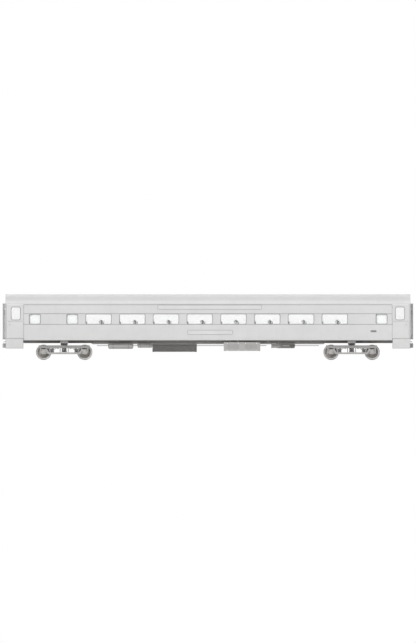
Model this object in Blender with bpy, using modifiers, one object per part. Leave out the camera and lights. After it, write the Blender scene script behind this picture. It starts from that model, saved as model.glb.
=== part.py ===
"""Passenger coach: a full-size four-axle railway coach with a vestibule at each end.

Units are metres. X runs along the coach with +X at its front, Y runs across it with +Y at
its left, and Z is up. The wheel flanges stand on Z = 0. Every moving piece has its origin
on its joint's axis.
"""
import math

import bmesh
import bpy
from mathutils import Matrix, Vector

# Gaps
GAP = 0.0003                 # between pieces that rest on each other
PLAY = 0.010                 # round a door or a cover in its frame
BITE = 0.010                 # how far joined shapes run into each other
TUCK = 0.005                 # a plate set back from its neighbour, so their faces differ

# Body shell
HALF_LENGTH = 12.775
HALF_WIDTH = 1.524           # over the roof's drip edges
SIDE_FACE = 1.514            # outer face of the side walls
WALL = 0.090
SIDE_BOTTOM = 1.225
EAVE = 3.503
ROOF_TOP = 4.143
ROOF_SKIN = 0.070
ROOF_FULLNESS = 2.35         # exponent of the roof's arch, where 2 is an ellipse
ROOF_STEPS = 32
JAMB_X = 11.640              # where the side wall ends and the side doorway begins
END_WALL = 0.125
POST_X = HALF_LENGTH - END_WALL
INSIDE = SIDE_FACE - WALL    # half the width between the side walls

# Floor
FLOOR_TOP = 1.373
FLOOR_THICK = 0.060
FLOOR_END = 11.730           # inner edge of the stair openings
AISLE_NECK = 0.590           # half the floor's width between the stairs

# Windows
WINDOW_LOW = 2.257
WINDOW_HIGH = 2.898
WINDOW_CORNER = 0.110
LARGE_WINDOW = 1.615
LARGE_COUNT = 8
LARGE_PITCH = 2.129
LARGE_CENTRE = 0.552
SMALL_WINDOW = 0.700
SMALL_CENTRES = (-10.920, -8.560, 10.960)
CORNER_STEPS = 3
GLASS = 0.006
GLASS_EDGE = 0.014           # how far the glass reaches into the wall's slot

# Side doors, in an upper and a lower leaf
LEAF = 0.045
LEAF_FACE = 1.465            # inner face of a closed leaf
LEAF_START = JAMB_X + PLAY
LEAF_END = POST_X - PLAY
LEAF_LOW = 1.382
LEAF_SPLIT = 2.436
LEAF_HIGH = 3.493
DOOR_WINDOW = 0.580
DOOR_WINDOW_X = 12.120
DOOR_WINDOW_LOW = 2.528
DOOR_WINDOW_HIGH = 3.338
DOOR_WINDOW_CORNER = 0.120

# Stairs, their trap doors and their outer covers
TRAP = 0.040
TRAP_START = FLOOR_END + PLAY
TRAP_END = 12.615
TRAP_INNER = AISLE_NECK + PLAY
TRAP_OUTER = 1.450
TRAP_PIN_X = 12.620
COVER_FACE = 1.512
COVER = 0.028
COVER_LOW = 0.723
COVER_HIGH = 1.366
COVER_START = 11.645
COVER_END = 12.770
COVER_PIN_Y = 1.515
STAIR_START = 11.690
STAIR_END = 12.750
STAIR_OUTER = 1.478
STAIR_INNER = 0.600
STAIR_PLATE = 0.020
STAIR_LOW = 0.745
STAIR_RISE = 0.208
STAIR_GOING = 0.290
STAIR_TOP = 1.285
STAIR_COUNT = 3
CHEEK_LOW = STAIR_LOW - 0.012    # the cheek plates reach a little past the treads
CHEEK_TOP = STAIR_TOP + 0.001
CHEEK_OUTER = STAIR_OUTER - 0.001

# Inner doors
END_DOORWAY = 0.380
END_DOORWAY_TOP = 3.400
END_LEAF_X = 12.655
END_LEAF_HALF = 0.372
INNER_DOORWAY = 0.360
INNER_LEAF_X = 11.585
INNER_LEAF_HALF = 0.352
INNER_LEAF = 0.040
DOOR_TOP = 3.390
PANE_HALF = 0.210
PANE_LOW = 2.350
PANE_HIGH = 3.100
PANE_CORNER = 0.060

# Rooms between the vestibules and the saloon
BULKHEAD = 0.060
PARTITION = 0.040
CORRIDOR = 0.400             # half its width
ROOM_TOP = 3.450
FRONT_ROOMS = 9.350
REAR_ROOMS = 8.050
ROOM_WALL_END = JAMB_X - 0.030  # where the corridor wall ends, inside the bulkhead
FRONT_PASSAGES = ((10.000, 10.600),)
REAR_PASSAGES = ((8.550, 9.150), (10.000, 10.600))
PASSAGE_REACH = 0.500           # half the width that cuts through both corridor walls
REAR_CROSS_WALL = 9.700

# Seats
SEAT_INNER = 0.320
SEAT_OUTER = 1.380
SEAT_PITCH = LARGE_PITCH / 2
SEAT_RAIL = (0.550, 1.150)
SEAT_RAIL_HEIGHT = 0.060
SEAT_RAIL_ENDS = (0.450, 0.350) # past the rearmost and the foremost row
SEAT_PROFILE = [             # cushion, back and pedestal, along and above the row's floor
    (0.120, 0.300), (0.280, 0.320), (0.300, 0.450), (-0.140, 0.420), (-0.320, 1.160),
    (-0.420, 1.140), (-0.260, 0.320), (-0.100, 0.300), (-0.100, 0.030), (0.120, 0.030)]

# Underframe
SILL_TOP = FLOOR_TOP - FLOOR_THICK - GAP
SILL_LOW = 1.060
SILL_HALF = 0.200
SILL_END = 12.700
SIDE_SILL_INNER = 1.350
BEARER_TOP = SILL_TOP - 0.010
BEARER_LOW = 1.130
BEARER_HALF = 0.050
BEARER_REACH = 1.400
BEARER_STEP = 1.900
BEARER_EACH_SIDE = 3
BODY_BOLSTER_HALF = 0.250
CENTRE_PLATE_RADIUS = 0.220
CENTRE_PLATE_TOP = 1.100
STAIR_BEARER = (11.580, 11.680)
STAIR_BEARER_LOW = 1.140
END_BEAM_HALF = 1.480
OUTRIGGER_X = (11.600, 12.690)  # beside the stairs, carrying the end beam
OUTRIGGER_Y = (0.500, 0.585)
OUTRIGGER_LOW = 1.200
POCKET_X = (11.800, 12.400)     # cheeks each side of the coupler's shank
POCKET_Y = (0.160, 0.195)
POCKET_Z = (0.800, 1.100)
POCKET_BACK = (11.790, 11.850)
CARRIER_X = (12.330, 12.390)    # cross bar that the shank rests above
CARRIER_Z = (0.790, 0.825)
BOGIE_X = 9.068
PLATE_LOW = 1.020            # underside of the centre plate
END_BEAM_LOW = 1.290

# Bogies
HALF_WHEELBASE = 1.2955
WHEEL_RADIUS = 0.457
FLANGE = 0.028
WHEEL_SIDES = 24
AXLE_Z = (WHEEL_RADIUS + FLANGE) * math.cos(math.pi / WHEEL_SIDES)
WHEEL_BACK = 0.6765          # half the distance between the wheels' backs
RIM_WIDTH = 0.140
AXLE_END = 1.060
AXLE_RADIUS = 0.085
JOURNAL_RADIUS = 0.070
JOURNAL_START = 0.880
WHEEL_SEAT = (0.130, 0.850)     # radius and outer end of the seat that the hub is pressed on
HUB_RADIUS = 0.140
RIM_DEPTH = 0.070
WEB = 0.060
SIDE_FRAME = (0.930, 1.050)
FRAME_LOW = 0.740
FRAME_HIGH = 0.920
FRAME_HALF = 1.620
EQUALIZER = (1.060, 1.100)
PEDESTAL_LEG = 0.200            # from the axle to the middle of a leg
PEDESTAL_HALF = 0.040
PEDESTAL_Y = (0.935, 1.045)
PEDESTAL_LOW = 0.400
PEDESTAL_TOP = FRAME_LOW + 0.030
TRANSOM_X = (0.340, 0.460)
TRANSOM_Z = (0.700, FRAME_HIGH - 0.020)
TRANSOM_HALF = 0.970
BOLSTER_HALF = 0.200
BOLSTER_REACH = 0.880
BOLSTER_Z = (0.780, 0.970)
BOWL_RADIUS = 0.240
BOWL_TOP = 1.015
BOWL_DEPTH = 0.070
PLANK_HALF = 0.190
PLANK_REACH = 0.860
PLANK_Z = (0.440, 0.490)
BOLSTER_SPRING_Y = 0.640
BOLSTER_SPRING_RADIUS = 0.120
BEARING_HALF = 0.080
BEARING_TOP = 1.045
AXLE_BOX_HALF = 0.150
AXLE_BOX_Y = (0.900, 1.120)
AXLE_BOX_BELOW = 0.130
AXLE_BOX_ABOVE = 0.140
AXLE_BORE = 0.080
AXLE_BORE_Y = 0.980             # middle of the bore, which stays blind at its outer end
AXLE_BORE_LENGTH = 0.200
GEAR_SPRING_X = 0.720
GEAR_SPRING_Y = 0.990
GEAR_SPRING_RADIUS = 0.075
GEAR_SPRING_TOP = FRAME_LOW - GAP
SPRING_SEAT_HALF = 0.090
SPRING_SEAT_Y = (0.915, 1.085)
SPRING_SEAT_Z = (0.440, 0.500)
EQUALIZER_TOP = [(0.950, 0.470), (1.100, 0.680), (1.420, 0.680)]
EQUALIZER_FOOT = [(1.420, 0.570), (1.160, 0.570), (1.010, 0.360)]

# Couplers and diaphragms
COUPLER_Z = 0.904
COUPLER_PIN_X = 12.020
COUPLER_FACE = 12.954
COUPLER_HEAD = [             # round the head and its knuckle, seen from above at the front
    (12.660, -0.075), (12.740, -0.160), (12.900, -0.170), (COUPLER_FACE, -0.130),
    (COUPLER_FACE, 0.030), (12.885, 0.050), (12.885, 0.100), (12.940, 0.140),
    (12.920, 0.180), (12.760, 0.150), (12.660, 0.075)]
HEAD_HALF_HEIGHT = 0.140
HEAD_START = 12.700
SHANK_HALF = 0.065
EYE_RADIUS = 0.080
EYE_HEIGHT = 0.120
DIAPHRAGM_FACE = 12.950
DIAPHRAGM_OUTER = 0.560
DIAPHRAGM_INNER = 0.420
DIAPHRAGM_Z = (1.290, 3.560)
DIAPHRAGM_TOP = 3.420           # top of its opening
DIAPHRAGM_CORNER = 0.100
PLATE_DEPTH = 0.025
PLATE_LIP = 0.030               # how far the face plate reaches past the bellows
PLATE_LIP_HIGH = 0.020
OPENING_LIP = 0.010             # and into the opening
PLATE_CORNER = 0.120

# Boxes under the floor
BOX_Y = (0.720, 1.380)
BOX_EDGE = 0.020
BATTERY_BOX = (1.000, 3.300, 0.560)       # start, end and depth
AIR_CONDITIONER = (-3.500, -0.700, 0.620)

PLANES = {
    "XY": Matrix.Identity(4),
    "XZ": Matrix.Rotation(math.pi / 2, 4, "X"),
    "YZ": Matrix(((0, 0, 1, 0), (1, 0, 0, 0), (0, 1, 0, 0), (0, 0, 0, 1))),
}
NORMALS = {"XY": Vector((0, 0, 1)), "XZ": Vector((0, 1, 0)), "YZ": Vector((1, 0, 0))}

FINISHES = {                 # colour, roughness, metallic
    "body_grey": ((0.69, 0.69, 0.69), 0.35, 0.3),
    "roof_grey": ((0.66, 0.66, 0.66), 0.45, 0.2),
    "glass": ((0.80, 0.85, 0.86), 0.05, 0.0),
    "underframe_black": ((0.05, 0.05, 0.05), 0.6, 0.2),
    "bogie_steel": ((0.10, 0.10, 0.11), 0.55, 0.5),
    "wheel_steel": ((0.35, 0.34, 0.33), 0.35, 0.9),
    "floor_covering": ((0.22, 0.20, 0.18), 0.7, 0.0),
    "inner_panel": ((0.72, 0.70, 0.64), 0.5, 0.0),
    "seat_fabric": ((0.22, 0.28, 0.33), 0.9, 0.0),
    "rubber": ((0.04, 0.04, 0.04), 0.8, 0.0),
    "steel_plate": ((0.30, 0.30, 0.31), 0.4, 0.8),
}


# ---------------------------------------------------------------- scene and shapes

def clear_scene():
    for obj in list(bpy.data.objects):
        bpy.data.objects.remove(obj, do_unlink=True)


def add_collection(name):
    collection = bpy.data.collections.new(name)
    bpy.context.scene.collection.children.link(collection)
    return collection


def make_material(name):
    colour, roughness, metallic = FINISHES[name]
    material = bpy.data.materials.new(name)
    material.use_nodes = True
    shader = material.node_tree.nodes["Principled BSDF"]
    shader.inputs["Base Color"].default_value = (*colour, 1)
    shader.inputs["Roughness"].default_value = roughness
    shader.inputs["Metallic"].default_value = metallic
    material.diffuse_color = (*colour, 1)
    return material


def add_object(data):
    obj = bpy.data.objects.new("shape", data)
    COACH.objects.link(obj)
    return obj


def settle(obj):
    """Replace an object by the closed mesh that it evaluates to, in world coordinates."""
    depsgraph = bpy.context.evaluated_depsgraph_get()
    mesh = bpy.data.meshes.new_from_object(obj.evaluated_get(depsgraph))
    mesh.transform(obj.evaluated_get(depsgraph).matrix_world)
    work = bmesh.new()
    work.from_mesh(mesh)
    bmesh.ops.remove_doubles(work, verts=work.verts, dist=0.00005)
    bmesh.ops.recalc_face_normals(work, faces=work.faces)
    work.to_mesh(mesh)
    work.free()
    bpy.data.objects.remove(obj, do_unlink=True)
    return add_object(mesh)


def cuboid(xs, ys, zs):
    """A box between two values on each axis, given in either order."""
    centre = Vector((sum(xs) / 2, sum(ys) / 2, sum(zs) / 2))
    size = Vector((abs(xs[1] - xs[0]), abs(ys[1] - ys[0]), abs(zs[1] - zs[0])))
    work = bmesh.new()
    placing = Matrix.Translation(centre) @ Matrix.Diagonal((*size, 1))
    bmesh.ops.create_cube(work, size=1, matrix=placing)
    mesh = bpy.data.meshes.new("cuboid")
    work.to_mesh(mesh)
    work.free()
    return add_object(mesh)


def cylinder(centre, direction, radius, length, sides=20):
    turn = Vector((0, 0, 1)).rotation_difference(Vector(direction)).to_matrix().to_4x4()
    work = bmesh.new()
    bmesh.ops.create_cone(work, cap_ends=True, segments=sides, radius1=radius, radius2=radius,
                          depth=length, matrix=Matrix.Translation(centre) @ turn)
    mesh = bpy.data.meshes.new("cylinder")
    work.to_mesh(mesh)
    work.free()
    return add_object(mesh)


def slab(outlines, plane, start, end):
    """A plate with closed outlines in a plane, where an outline inside another is a hole."""
    curve = bpy.data.curves.new("outline", "CURVE")
    curve.dimensions = "2D"
    curve.fill_mode = "BOTH"
    curve.extrude = abs(end - start) / 2
    for outline in outlines:
        spline = curve.splines.new("POLY")
        spline.points.add(len(outline) - 1)
        for point, (across, up) in zip(spline.points, outline):
            point.co = (across, up, 0, 1)
        spline.use_cyclic_u = True
    obj = add_object(curve)
    middle = Matrix.Translation(NORMALS[plane] * (start + end) / 2)
    obj.matrix_world = middle @ PLANES[plane]
    return settle(obj)


def turned(profile, centre, spin):
    """A solid turned about an axis along Y, from (radius, distance) points, +Y end first."""
    mesh = bpy.data.meshes.new("profile")
    edges = [(index, index + 1) for index in range(len(profile) - 1)]
    mesh.from_pydata([(radius, 0, along) for radius, along in profile], edges, [])
    obj = add_object(mesh)
    screw = obj.modifiers.new("Turn", "SCREW")
    screw.steps = screw.render_steps = WHEEL_SIDES
    screw.use_merge_vertices = True
    screw.merge_threshold = 0.0001
    obj.location = centre
    obj.rotation_euler = (-math.pi / 2, spin, 0)
    return settle(obj)


def combine(base, others, operation):
    for other in others:
        boolean = base.modifiers.new(operation, "BOOLEAN")
        boolean.operation = operation
        boolean.object = other
        boolean.solver = "EXACT"
    result = settle(base)
    for other in others:
        bpy.data.objects.remove(other, do_unlink=True)
    return result


def join(*pieces):
    return combine(pieces[0], pieces[1:], "UNION")


def cut(base, *cutters):
    return combine(base, cutters, "DIFFERENCE")


def world_place(obj):
    place = obj.location.copy()
    while obj.parent:
        obj = obj.parent
        place += obj.location
    return place


def part(name, shape, origin, finish, parent=None, smooth=False):
    """Name a shape, put its origin at a world point and give it its material and parent."""
    origin = Vector(origin)
    shape.data.transform(Matrix.Translation(-origin))
    if smooth:
        shape.data.shade_smooth()
        shape.data.set_sharp_from_angle(angle=math.radians(35))
    shape.name = name
    shape.data.name = name
    shape.data.materials.clear()
    shape.data.materials.append(MATERIALS[finish])
    shape.location = origin - (world_place(parent) if parent else Vector((0, 0, 0)))
    shape.parent = parent
    return shape


def rectangle(left, right, low, high):
    return [(left, low), (right, low), (right, high), (left, high)]


def rounded(left, right, low, high, radius):
    """A rectangle with its four corners turned to a radius."""
    points = []
    corners = ((right, high, 0), (left, high, 90), (left, low, 180), (right, low, 270))
    for corner_x, corner_y, start in corners:
        centre_x = corner_x - math.copysign(radius, corner_x - (left + right) / 2)
        centre_y = corner_y - math.copysign(radius, corner_y - (low + high) / 2)
        for step in range(CORNER_STEPS + 1):
            turn = math.radians(start + 90 * step / CORNER_STEPS)
            points.append((centre_x + radius * math.cos(turn),
                           centre_y + radius * math.sin(turn)))
    return points


def mirrored(points):
    """Points and then their mirror images across the vertical middle line, in reverse."""
    return points + [(-across, up) for across, up in reversed(points)]


def arch(half_width, rise, base):
    """The roof's arch, from its +Y foot over the top to its -Y foot."""
    points = []
    for step in range(ROOF_STEPS + 1):
        turn = math.pi * step / ROOF_STEPS
        reach = abs(math.cos(turn)) ** (2 / ROOF_FULLNESS)
        climb = max(math.sin(turn), 0) ** (2 / ROOF_FULLNESS)
        points.append((math.copysign(reach, math.cos(turn)) * half_width, base + climb * rise))
    return points


# ---------------------------------------------------------------- body shell

def window_spans():
    """The left and right edge of each side window, from the rear to the front."""
    middle = (LARGE_COUNT - 1) / 2
    spans = [(LARGE_CENTRE + (index - middle) * LARGE_PITCH, LARGE_WINDOW / 2)
             for index in range(LARGE_COUNT)]
    spans += [(centre, SMALL_WINDOW / 2) for centre in SMALL_CENTRES]
    return sorted((centre - half, centre + half) for centre, half in spans)


def side_wall_and_glass(name, side):
    """A side wall with its windows cut, and one sheet of glass in a slot along them all."""
    spans = window_spans()
    windows = [rounded(left, right, WINDOW_LOW, WINDOW_HIGH, WINDOW_CORNER)
               for left, right in spans]
    wall = cuboid((-JAMB_X, JAMB_X), (side * INSIDE, side * SIDE_FACE),
                  (SIDE_BOTTOM, EAVE - GAP))
    openings = slab(windows, "XZ", side * (INSIDE - WALL), side * (SIDE_FACE + WALL))
    middle = side * (INSIDE + WALL / 2)
    sheet = []
    for grow, thick in ((GAP, GLASS / 2 + GAP), (0, GLASS / 2)):
        reach = GLASS_EDGE + grow
        sheet.append(cuboid((spans[0][0] - reach, spans[-1][1] + reach),
                            (middle - thick, middle + thick),
                            (WINDOW_LOW - reach, WINDOW_HIGH + reach)))
    slot, glass = sheet
    place = (0, middle, SIDE_BOTTOM)
    part(name + "_side_wall", cut(wall, openings, slot), place, "body_grey")
    part(name + "_window_glass", glass, place, "glass")


def roof():
    outer = arch(HALF_WIDTH, ROOF_TOP - EAVE, EAVE)
    inner = arch(INSIDE, ROOF_TOP - ROOF_SKIN - EAVE, EAVE)
    shell = slab([outer + inner[::-1]], "YZ", -HALF_LENGTH, HALF_LENGTH)
    part("roof", shell, (0, 0, EAVE), "roof_grey", smooth=True)


def cross_wall(half_width, doorway, doorway_top, start, end):
    """A wall across the coach that fills the roof's arch, with a doorway in its middle."""
    foot = FLOOR_TOP + GAP
    head = EAVE - GAP
    legs = [(doorway, doorway_top), (doorway, foot), (half_width, foot)]
    if half_width > INSIDE:
        legs.append((half_width, head))
    crown = arch(INSIDE - GAP, ROOF_TOP - ROOF_SKIN - EAVE - GAP, head)
    left_legs = [(-across, up) for across, up in reversed(legs)]
    return slab([legs + crown + left_legs], "YZ", start, end)


def end_wall(name, end):
    wall = cross_wall(SIDE_FACE, END_DOORWAY, END_DOORWAY_TOP, end * POST_X, end * HALF_LENGTH)
    part(name + "_end_wall", wall, (end * POST_X, 0, FLOOR_TOP), "body_grey")


def floor():
    half_width = INSIDE - GAP
    end = POST_X + PLAY - GAP
    corner = [(-end, -AISLE_NECK), (-FLOOR_END, -AISLE_NECK), (-FLOOR_END, -half_width),
              (FLOOR_END, -half_width), (FLOOR_END, -AISLE_NECK), (end, -AISLE_NECK)]
    outline = corner + [(x, -y) for x, y in reversed(corner)]
    plate = slab([outline], "XY", FLOOR_TOP - FLOOR_THICK, FLOOR_TOP)
    part("floor", plate, (0, 0, FLOOR_TOP), "floor_covering")


def underframe():
    """Centre sill, side sills, cross bearers, bolsters, end beams and coupler pockets."""
    pieces = [cuboid((-SILL_END, SILL_END), (-SILL_HALF, SILL_HALF), (SILL_LOW, SILL_TOP))]
    reach = (-BEARER_REACH, BEARER_REACH)
    for side in (1, -1):
        pieces.append(cuboid((-JAMB_X, JAMB_X), (side * (INSIDE - GAP), side * SIDE_SILL_INNER),
                             (SIDE_BOTTOM, SILL_TOP)))
    for step in range(-BEARER_EACH_SIDE, BEARER_EACH_SIDE + 1):
        middle = step * BEARER_STEP
        pieces.append(cuboid((middle - BEARER_HALF, middle + BEARER_HALF), reach,
                             (BEARER_LOW, BEARER_TOP)))
    for end in (1, -1):
        pieces += end_structure(end, reach)
    part("underframe", join(*pieces), (0, 0, SILL_LOW), "underframe_black")


def end_structure(end, reach):
    """What the underframe carries at one end, from the body bolster to the end beam."""
    bogie_x = end * BOGIE_X

    def along(span):
        return end * span[0], end * span[1]

    pieces = [cuboid((bogie_x - BODY_BOLSTER_HALF, bogie_x + BODY_BOLSTER_HALF), reach,
                     (SILL_LOW + BITE, BEARER_TOP)),
              cylinder((bogie_x, 0, (PLATE_LOW + CENTRE_PLATE_TOP) / 2), (0, 0, 1),
                       CENTRE_PLATE_RADIUS, CENTRE_PLATE_TOP - PLATE_LOW),
              cuboid(along(STAIR_BEARER), reach, (STAIR_BEARER_LOW, BEARER_TOP)),
              cuboid(along((POST_X + PLAY, HALF_LENGTH)), (-END_BEAM_HALF, END_BEAM_HALF),
                     (END_BEAM_LOW, FLOOR_TOP))]
    for side in (1, -1):
        pieces.append(cuboid(along(OUTRIGGER_X), (side * OUTRIGGER_Y[0], side * OUTRIGGER_Y[1]),
                             (OUTRIGGER_LOW, BEARER_TOP)))
        pieces.append(cuboid(along(POCKET_X), (side * POCKET_Y[0], side * POCKET_Y[1]),
                             POCKET_Z))
    inner = POCKET_Y[1] - TUCK
    pieces.append(cuboid(along(POCKET_BACK), (-inner, inner),
                         (POCKET_Z[0] + TUCK, POCKET_Z[1] - TUCK)))
    inner = POCKET_Y[1] - 2 * TUCK
    pieces.append(cuboid(along(CARRIER_X), (-inner, inner), CARRIER_Z))
    return pieces


# ---------------------------------------------------------------- vestibules

def side_door(name, end, side):
    """The lower and upper leaves of a side doorway, hinged at the saloon end."""
    hinge = (end * LEAF_START, side * LEAF_FACE)
    faces = (side * LEAF_FACE, side * (LEAF_FACE + LEAF))
    edges = (end * LEAF_START, end * LEAF_END)
    lower = cuboid(edges, faces, (LEAF_LOW, LEAF_SPLIT - PLAY / 2))
    part(name + "_lower_door", lower, (*hinge, LEAF_LOW), "body_grey")
    low = LEAF_SPLIT + PLAY / 2
    left, right = sorted((end * (DOOR_WINDOW_X - DOOR_WINDOW / 2),
                          end * (DOOR_WINDOW_X + DOOR_WINDOW / 2)))
    window = rounded(left, right, DOOR_WINDOW_LOW, DOOR_WINDOW_HIGH, DOOR_WINDOW_CORNER)
    leaf = slab([rectangle(*sorted(edges), low, LEAF_HIGH), window], "XZ", *faces)
    middle = side * (LEAF_FACE + LEAF / 2)
    sheet = []
    for grow, thick in ((GAP, GLASS / 2 + GAP), (0, GLASS / 2)):
        reach = GLASS_EDGE + grow
        sheet.append(cuboid((left - reach, right + reach), (middle - thick, middle + thick),
                            (DOOR_WINDOW_LOW - reach, DOOR_WINDOW_HIGH + reach)))
    slot, glass = sheet
    upper = part(name + "_upper_door", cut(leaf, slot), (*hinge, low), "body_grey")
    part(name + "_door_glass", glass, (*hinge, low), "glass", parent=upper)


def trap_door(name, end, side):
    plate = cuboid((end * TRAP_START, end * TRAP_END), (side * TRAP_INNER, side * TRAP_OUTER),
                   (FLOOR_TOP - TRAP, FLOOR_TOP))
    pin = (end * TRAP_PIN_X, side * TRAP_INNER, FLOOR_TOP - TRAP / 2)
    part(name + "_trap_door", plate, pin, "steel_plate")


def step_cover(name, end, side):
    plate = cuboid((end * COVER_START, end * COVER_END),
                   (side * (COVER_FACE - COVER), side * COVER_FACE), (COVER_LOW, COVER_HIGH))
    pin = (end * COVER_START, side * COVER_PIN_Y, COVER_LOW)
    part(name + "_step_cover", plate, pin, "body_grey")


def stair(name, end, side):
    """Three treads folded from one plate, between two cheek plates."""
    tops = []
    unders = []
    for index in range(STAIR_COUNT):
        outer = STAIR_OUTER - index * STAIR_GOING
        level = STAIR_LOW + index * STAIR_RISE
        inner = outer - STAIR_GOING
        tops += [(outer, level + STAIR_PLATE), (inner, level + STAIR_PLATE)]
        shift = STAIR_PLATE if index else 0
        unders += [(outer - shift, level), (inner - STAIR_PLATE, level)]
    tops.append((tops[-1][0], STAIR_TOP))
    unders.append((unders[-1][0], STAIR_TOP))
    outline = [(side * across, up) for across, up in tops + unders[::-1]]
    inset = STAIR_PLATE / 2
    pieces = [slab([outline], "YZ", end * (STAIR_START + inset), end * (STAIR_END - inset))]
    for edge, inward in ((STAIR_START, STAIR_PLATE), (STAIR_END, -STAIR_PLATE)):
        pieces.append(cuboid((end * edge, end * (edge + inward)),
                             (side * STAIR_INNER, side * CHEEK_OUTER),
                             (CHEEK_LOW, CHEEK_TOP)))
    part(name + "_stair", join(*pieces), (end * STAIR_START, side * STAIR_OUTER, STAIR_LOW),
         "steel_plate")


def inner_door(name, end, face, half_width, thick):
    """A door leaf across a passage, hinged on its face towards the coach's middle."""
    window = rounded(-PANE_HALF, PANE_HALF, PANE_LOW, PANE_HIGH, PANE_CORNER)
    leaf = slab([rectangle(-half_width, half_width, FLOOR_TOP + PLAY, DOOR_TOP), window],
                "YZ", end * face, end * (face + thick))
    part(name, leaf, (end * face, end * half_width, FLOOR_TOP + PLAY), "inner_panel")


def partitions(name, end, rooms_start, cross_walls, passages):
    """The vestibule bulkhead with the rooms each side of the corridor behind it."""
    outer = INSIDE - GAP
    foot = FLOOR_TOP + GAP
    pieces = [cross_wall(outer, INNER_DOORWAY, END_DOORWAY_TOP, end * (JAMB_X - BULKHEAD),
                         end * JAMB_X)]
    for side in (1, -1):
        pieces.append(cuboid((end * rooms_start, end * ROOM_WALL_END),
                             (side * CORRIDOR, side * (CORRIDOR + PARTITION)), (foot, ROOM_TOP)))
        for start in (rooms_start,) + cross_walls:
            pieces.append(cuboid((end * start, end * (start + PARTITION)),
                                 (side * (CORRIDOR + PARTITION / 2), side * outer),
                                 (foot, ROOM_TOP)))
    doorways = [cuboid((end * near, end * far), (-PASSAGE_REACH, PASSAGE_REACH),
                       (FLOOR_TOP - PLAY, DOOR_TOP)) for near, far in passages]
    part(name + "_partitions", cut(join(*pieces), *doorways), (end * JAMB_X, 0, FLOOR_TOP),
         "inner_panel")


def diaphragm(name, end):
    """The bellows round the end doorway, with its face plate."""
    low, high = DIAPHRAGM_Z
    opening = rectangle(-DIAPHRAGM_INNER, DIAPHRAGM_INNER, FLOOR_TOP, DIAPHRAGM_TOP)
    outside = rounded(-DIAPHRAGM_OUTER, DIAPHRAGM_OUTER, low, high, DIAPHRAGM_CORNER)
    bellows = slab([outside, opening], "YZ", end * (HALF_LENGTH + GAP),
                   end * (DIAPHRAGM_FACE - OPENING_LIP))
    inner = DIAPHRAGM_INNER - OPENING_LIP
    outer = DIAPHRAGM_OUTER + PLATE_LIP
    opening = rectangle(-inner, inner, FLOOR_TOP + 0.002, DIAPHRAGM_TOP - OPENING_LIP)
    outside = rounded(-outer, outer, low - PLATE_LIP_HIGH, high + PLATE_LIP,
                      PLATE_CORNER)
    plate = slab([outside, opening], "YZ", end * (DIAPHRAGM_FACE - PLATE_DEPTH),
                 end * DIAPHRAGM_FACE)
    part(name + "_diaphragm", join(bellows, plate), (end * HALF_LENGTH, 0, FLOOR_TOP), "rubber")


# ---------------------------------------------------------------- saloon

def seats(name, side):
    """Every double seat on one side of the aisle, on the rail that carries them."""
    floor_level = FLOOR_TOP + GAP
    first = LARGE_CENTRE - (LARGE_COUNT - 0.5) * SEAT_PITCH
    rows = []
    for row in range(2 * LARGE_COUNT):
        middle = first + row * SEAT_PITCH
        rows.append([(middle + along, floor_level + up) for along, up in SEAT_PROFILE])
    last = first + (2 * LARGE_COUNT - 1) * SEAT_PITCH
    seating = slab(rows, "XZ", side * SEAT_INNER, side * SEAT_OUTER)
    rail = cuboid((first - SEAT_RAIL_ENDS[0], last + SEAT_RAIL_ENDS[1]),
                  (side * SEAT_RAIL[0], side * SEAT_RAIL[1]),
                  (floor_level, floor_level + SEAT_RAIL_HEIGHT))
    part(name + "_seats", join(rail, seating), (0, side * SEAT_INNER, FLOOR_TOP), "seat_fabric")


# ---------------------------------------------------------------- underfloor equipment

def equipment_box(name, side, start, end, depth):
    low = BEARER_LOW - depth
    shell = cuboid((start, end), (side * BOX_Y[0], side * BOX_Y[1]), (low, BEARER_LOW - GAP))
    bevel = shell.modifiers.new("Edges", "BEVEL")
    bevel.width = BOX_EDGE
    bevel.segments = 2
    centre = ((start + end) / 2, side * sum(BOX_Y) / 2, BEARER_LOW)
    part(name, settle(shell), centre, "underframe_black")


# ---------------------------------------------------------------- bogies

def bogie_frame(name, pivot, holder):
    """Side frames with their pedestals, and the two transoms between them."""
    pieces = []
    for side in (1, -1):
        pieces.append(cuboid((pivot - FRAME_HALF, pivot + FRAME_HALF),
                             (side * SIDE_FRAME[0], side * SIDE_FRAME[1]),
                             (FRAME_LOW, FRAME_HIGH)))
        for axle in (1, -1):
            for leg in (1, -1):
                middle = pivot + axle * HALF_WHEELBASE + leg * PEDESTAL_LEG
                pieces.append(cuboid((middle - PEDESTAL_HALF, middle + PEDESTAL_HALF),
                                     (side * PEDESTAL_Y[0], side * PEDESTAL_Y[1]),
                                     (PEDESTAL_LOW, PEDESTAL_TOP)))
    for transom in (1, -1):
        pieces.append(cuboid((pivot + transom * TRANSOM_X[0], pivot + transom * TRANSOM_X[1]),
                             (-TRANSOM_HALF, TRANSOM_HALF), TRANSOM_Z))
    part(name + "_bogie_frame", join(*pieces), (pivot, 0, FRAME_LOW), "bogie_steel",
         parent=holder)


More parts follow.
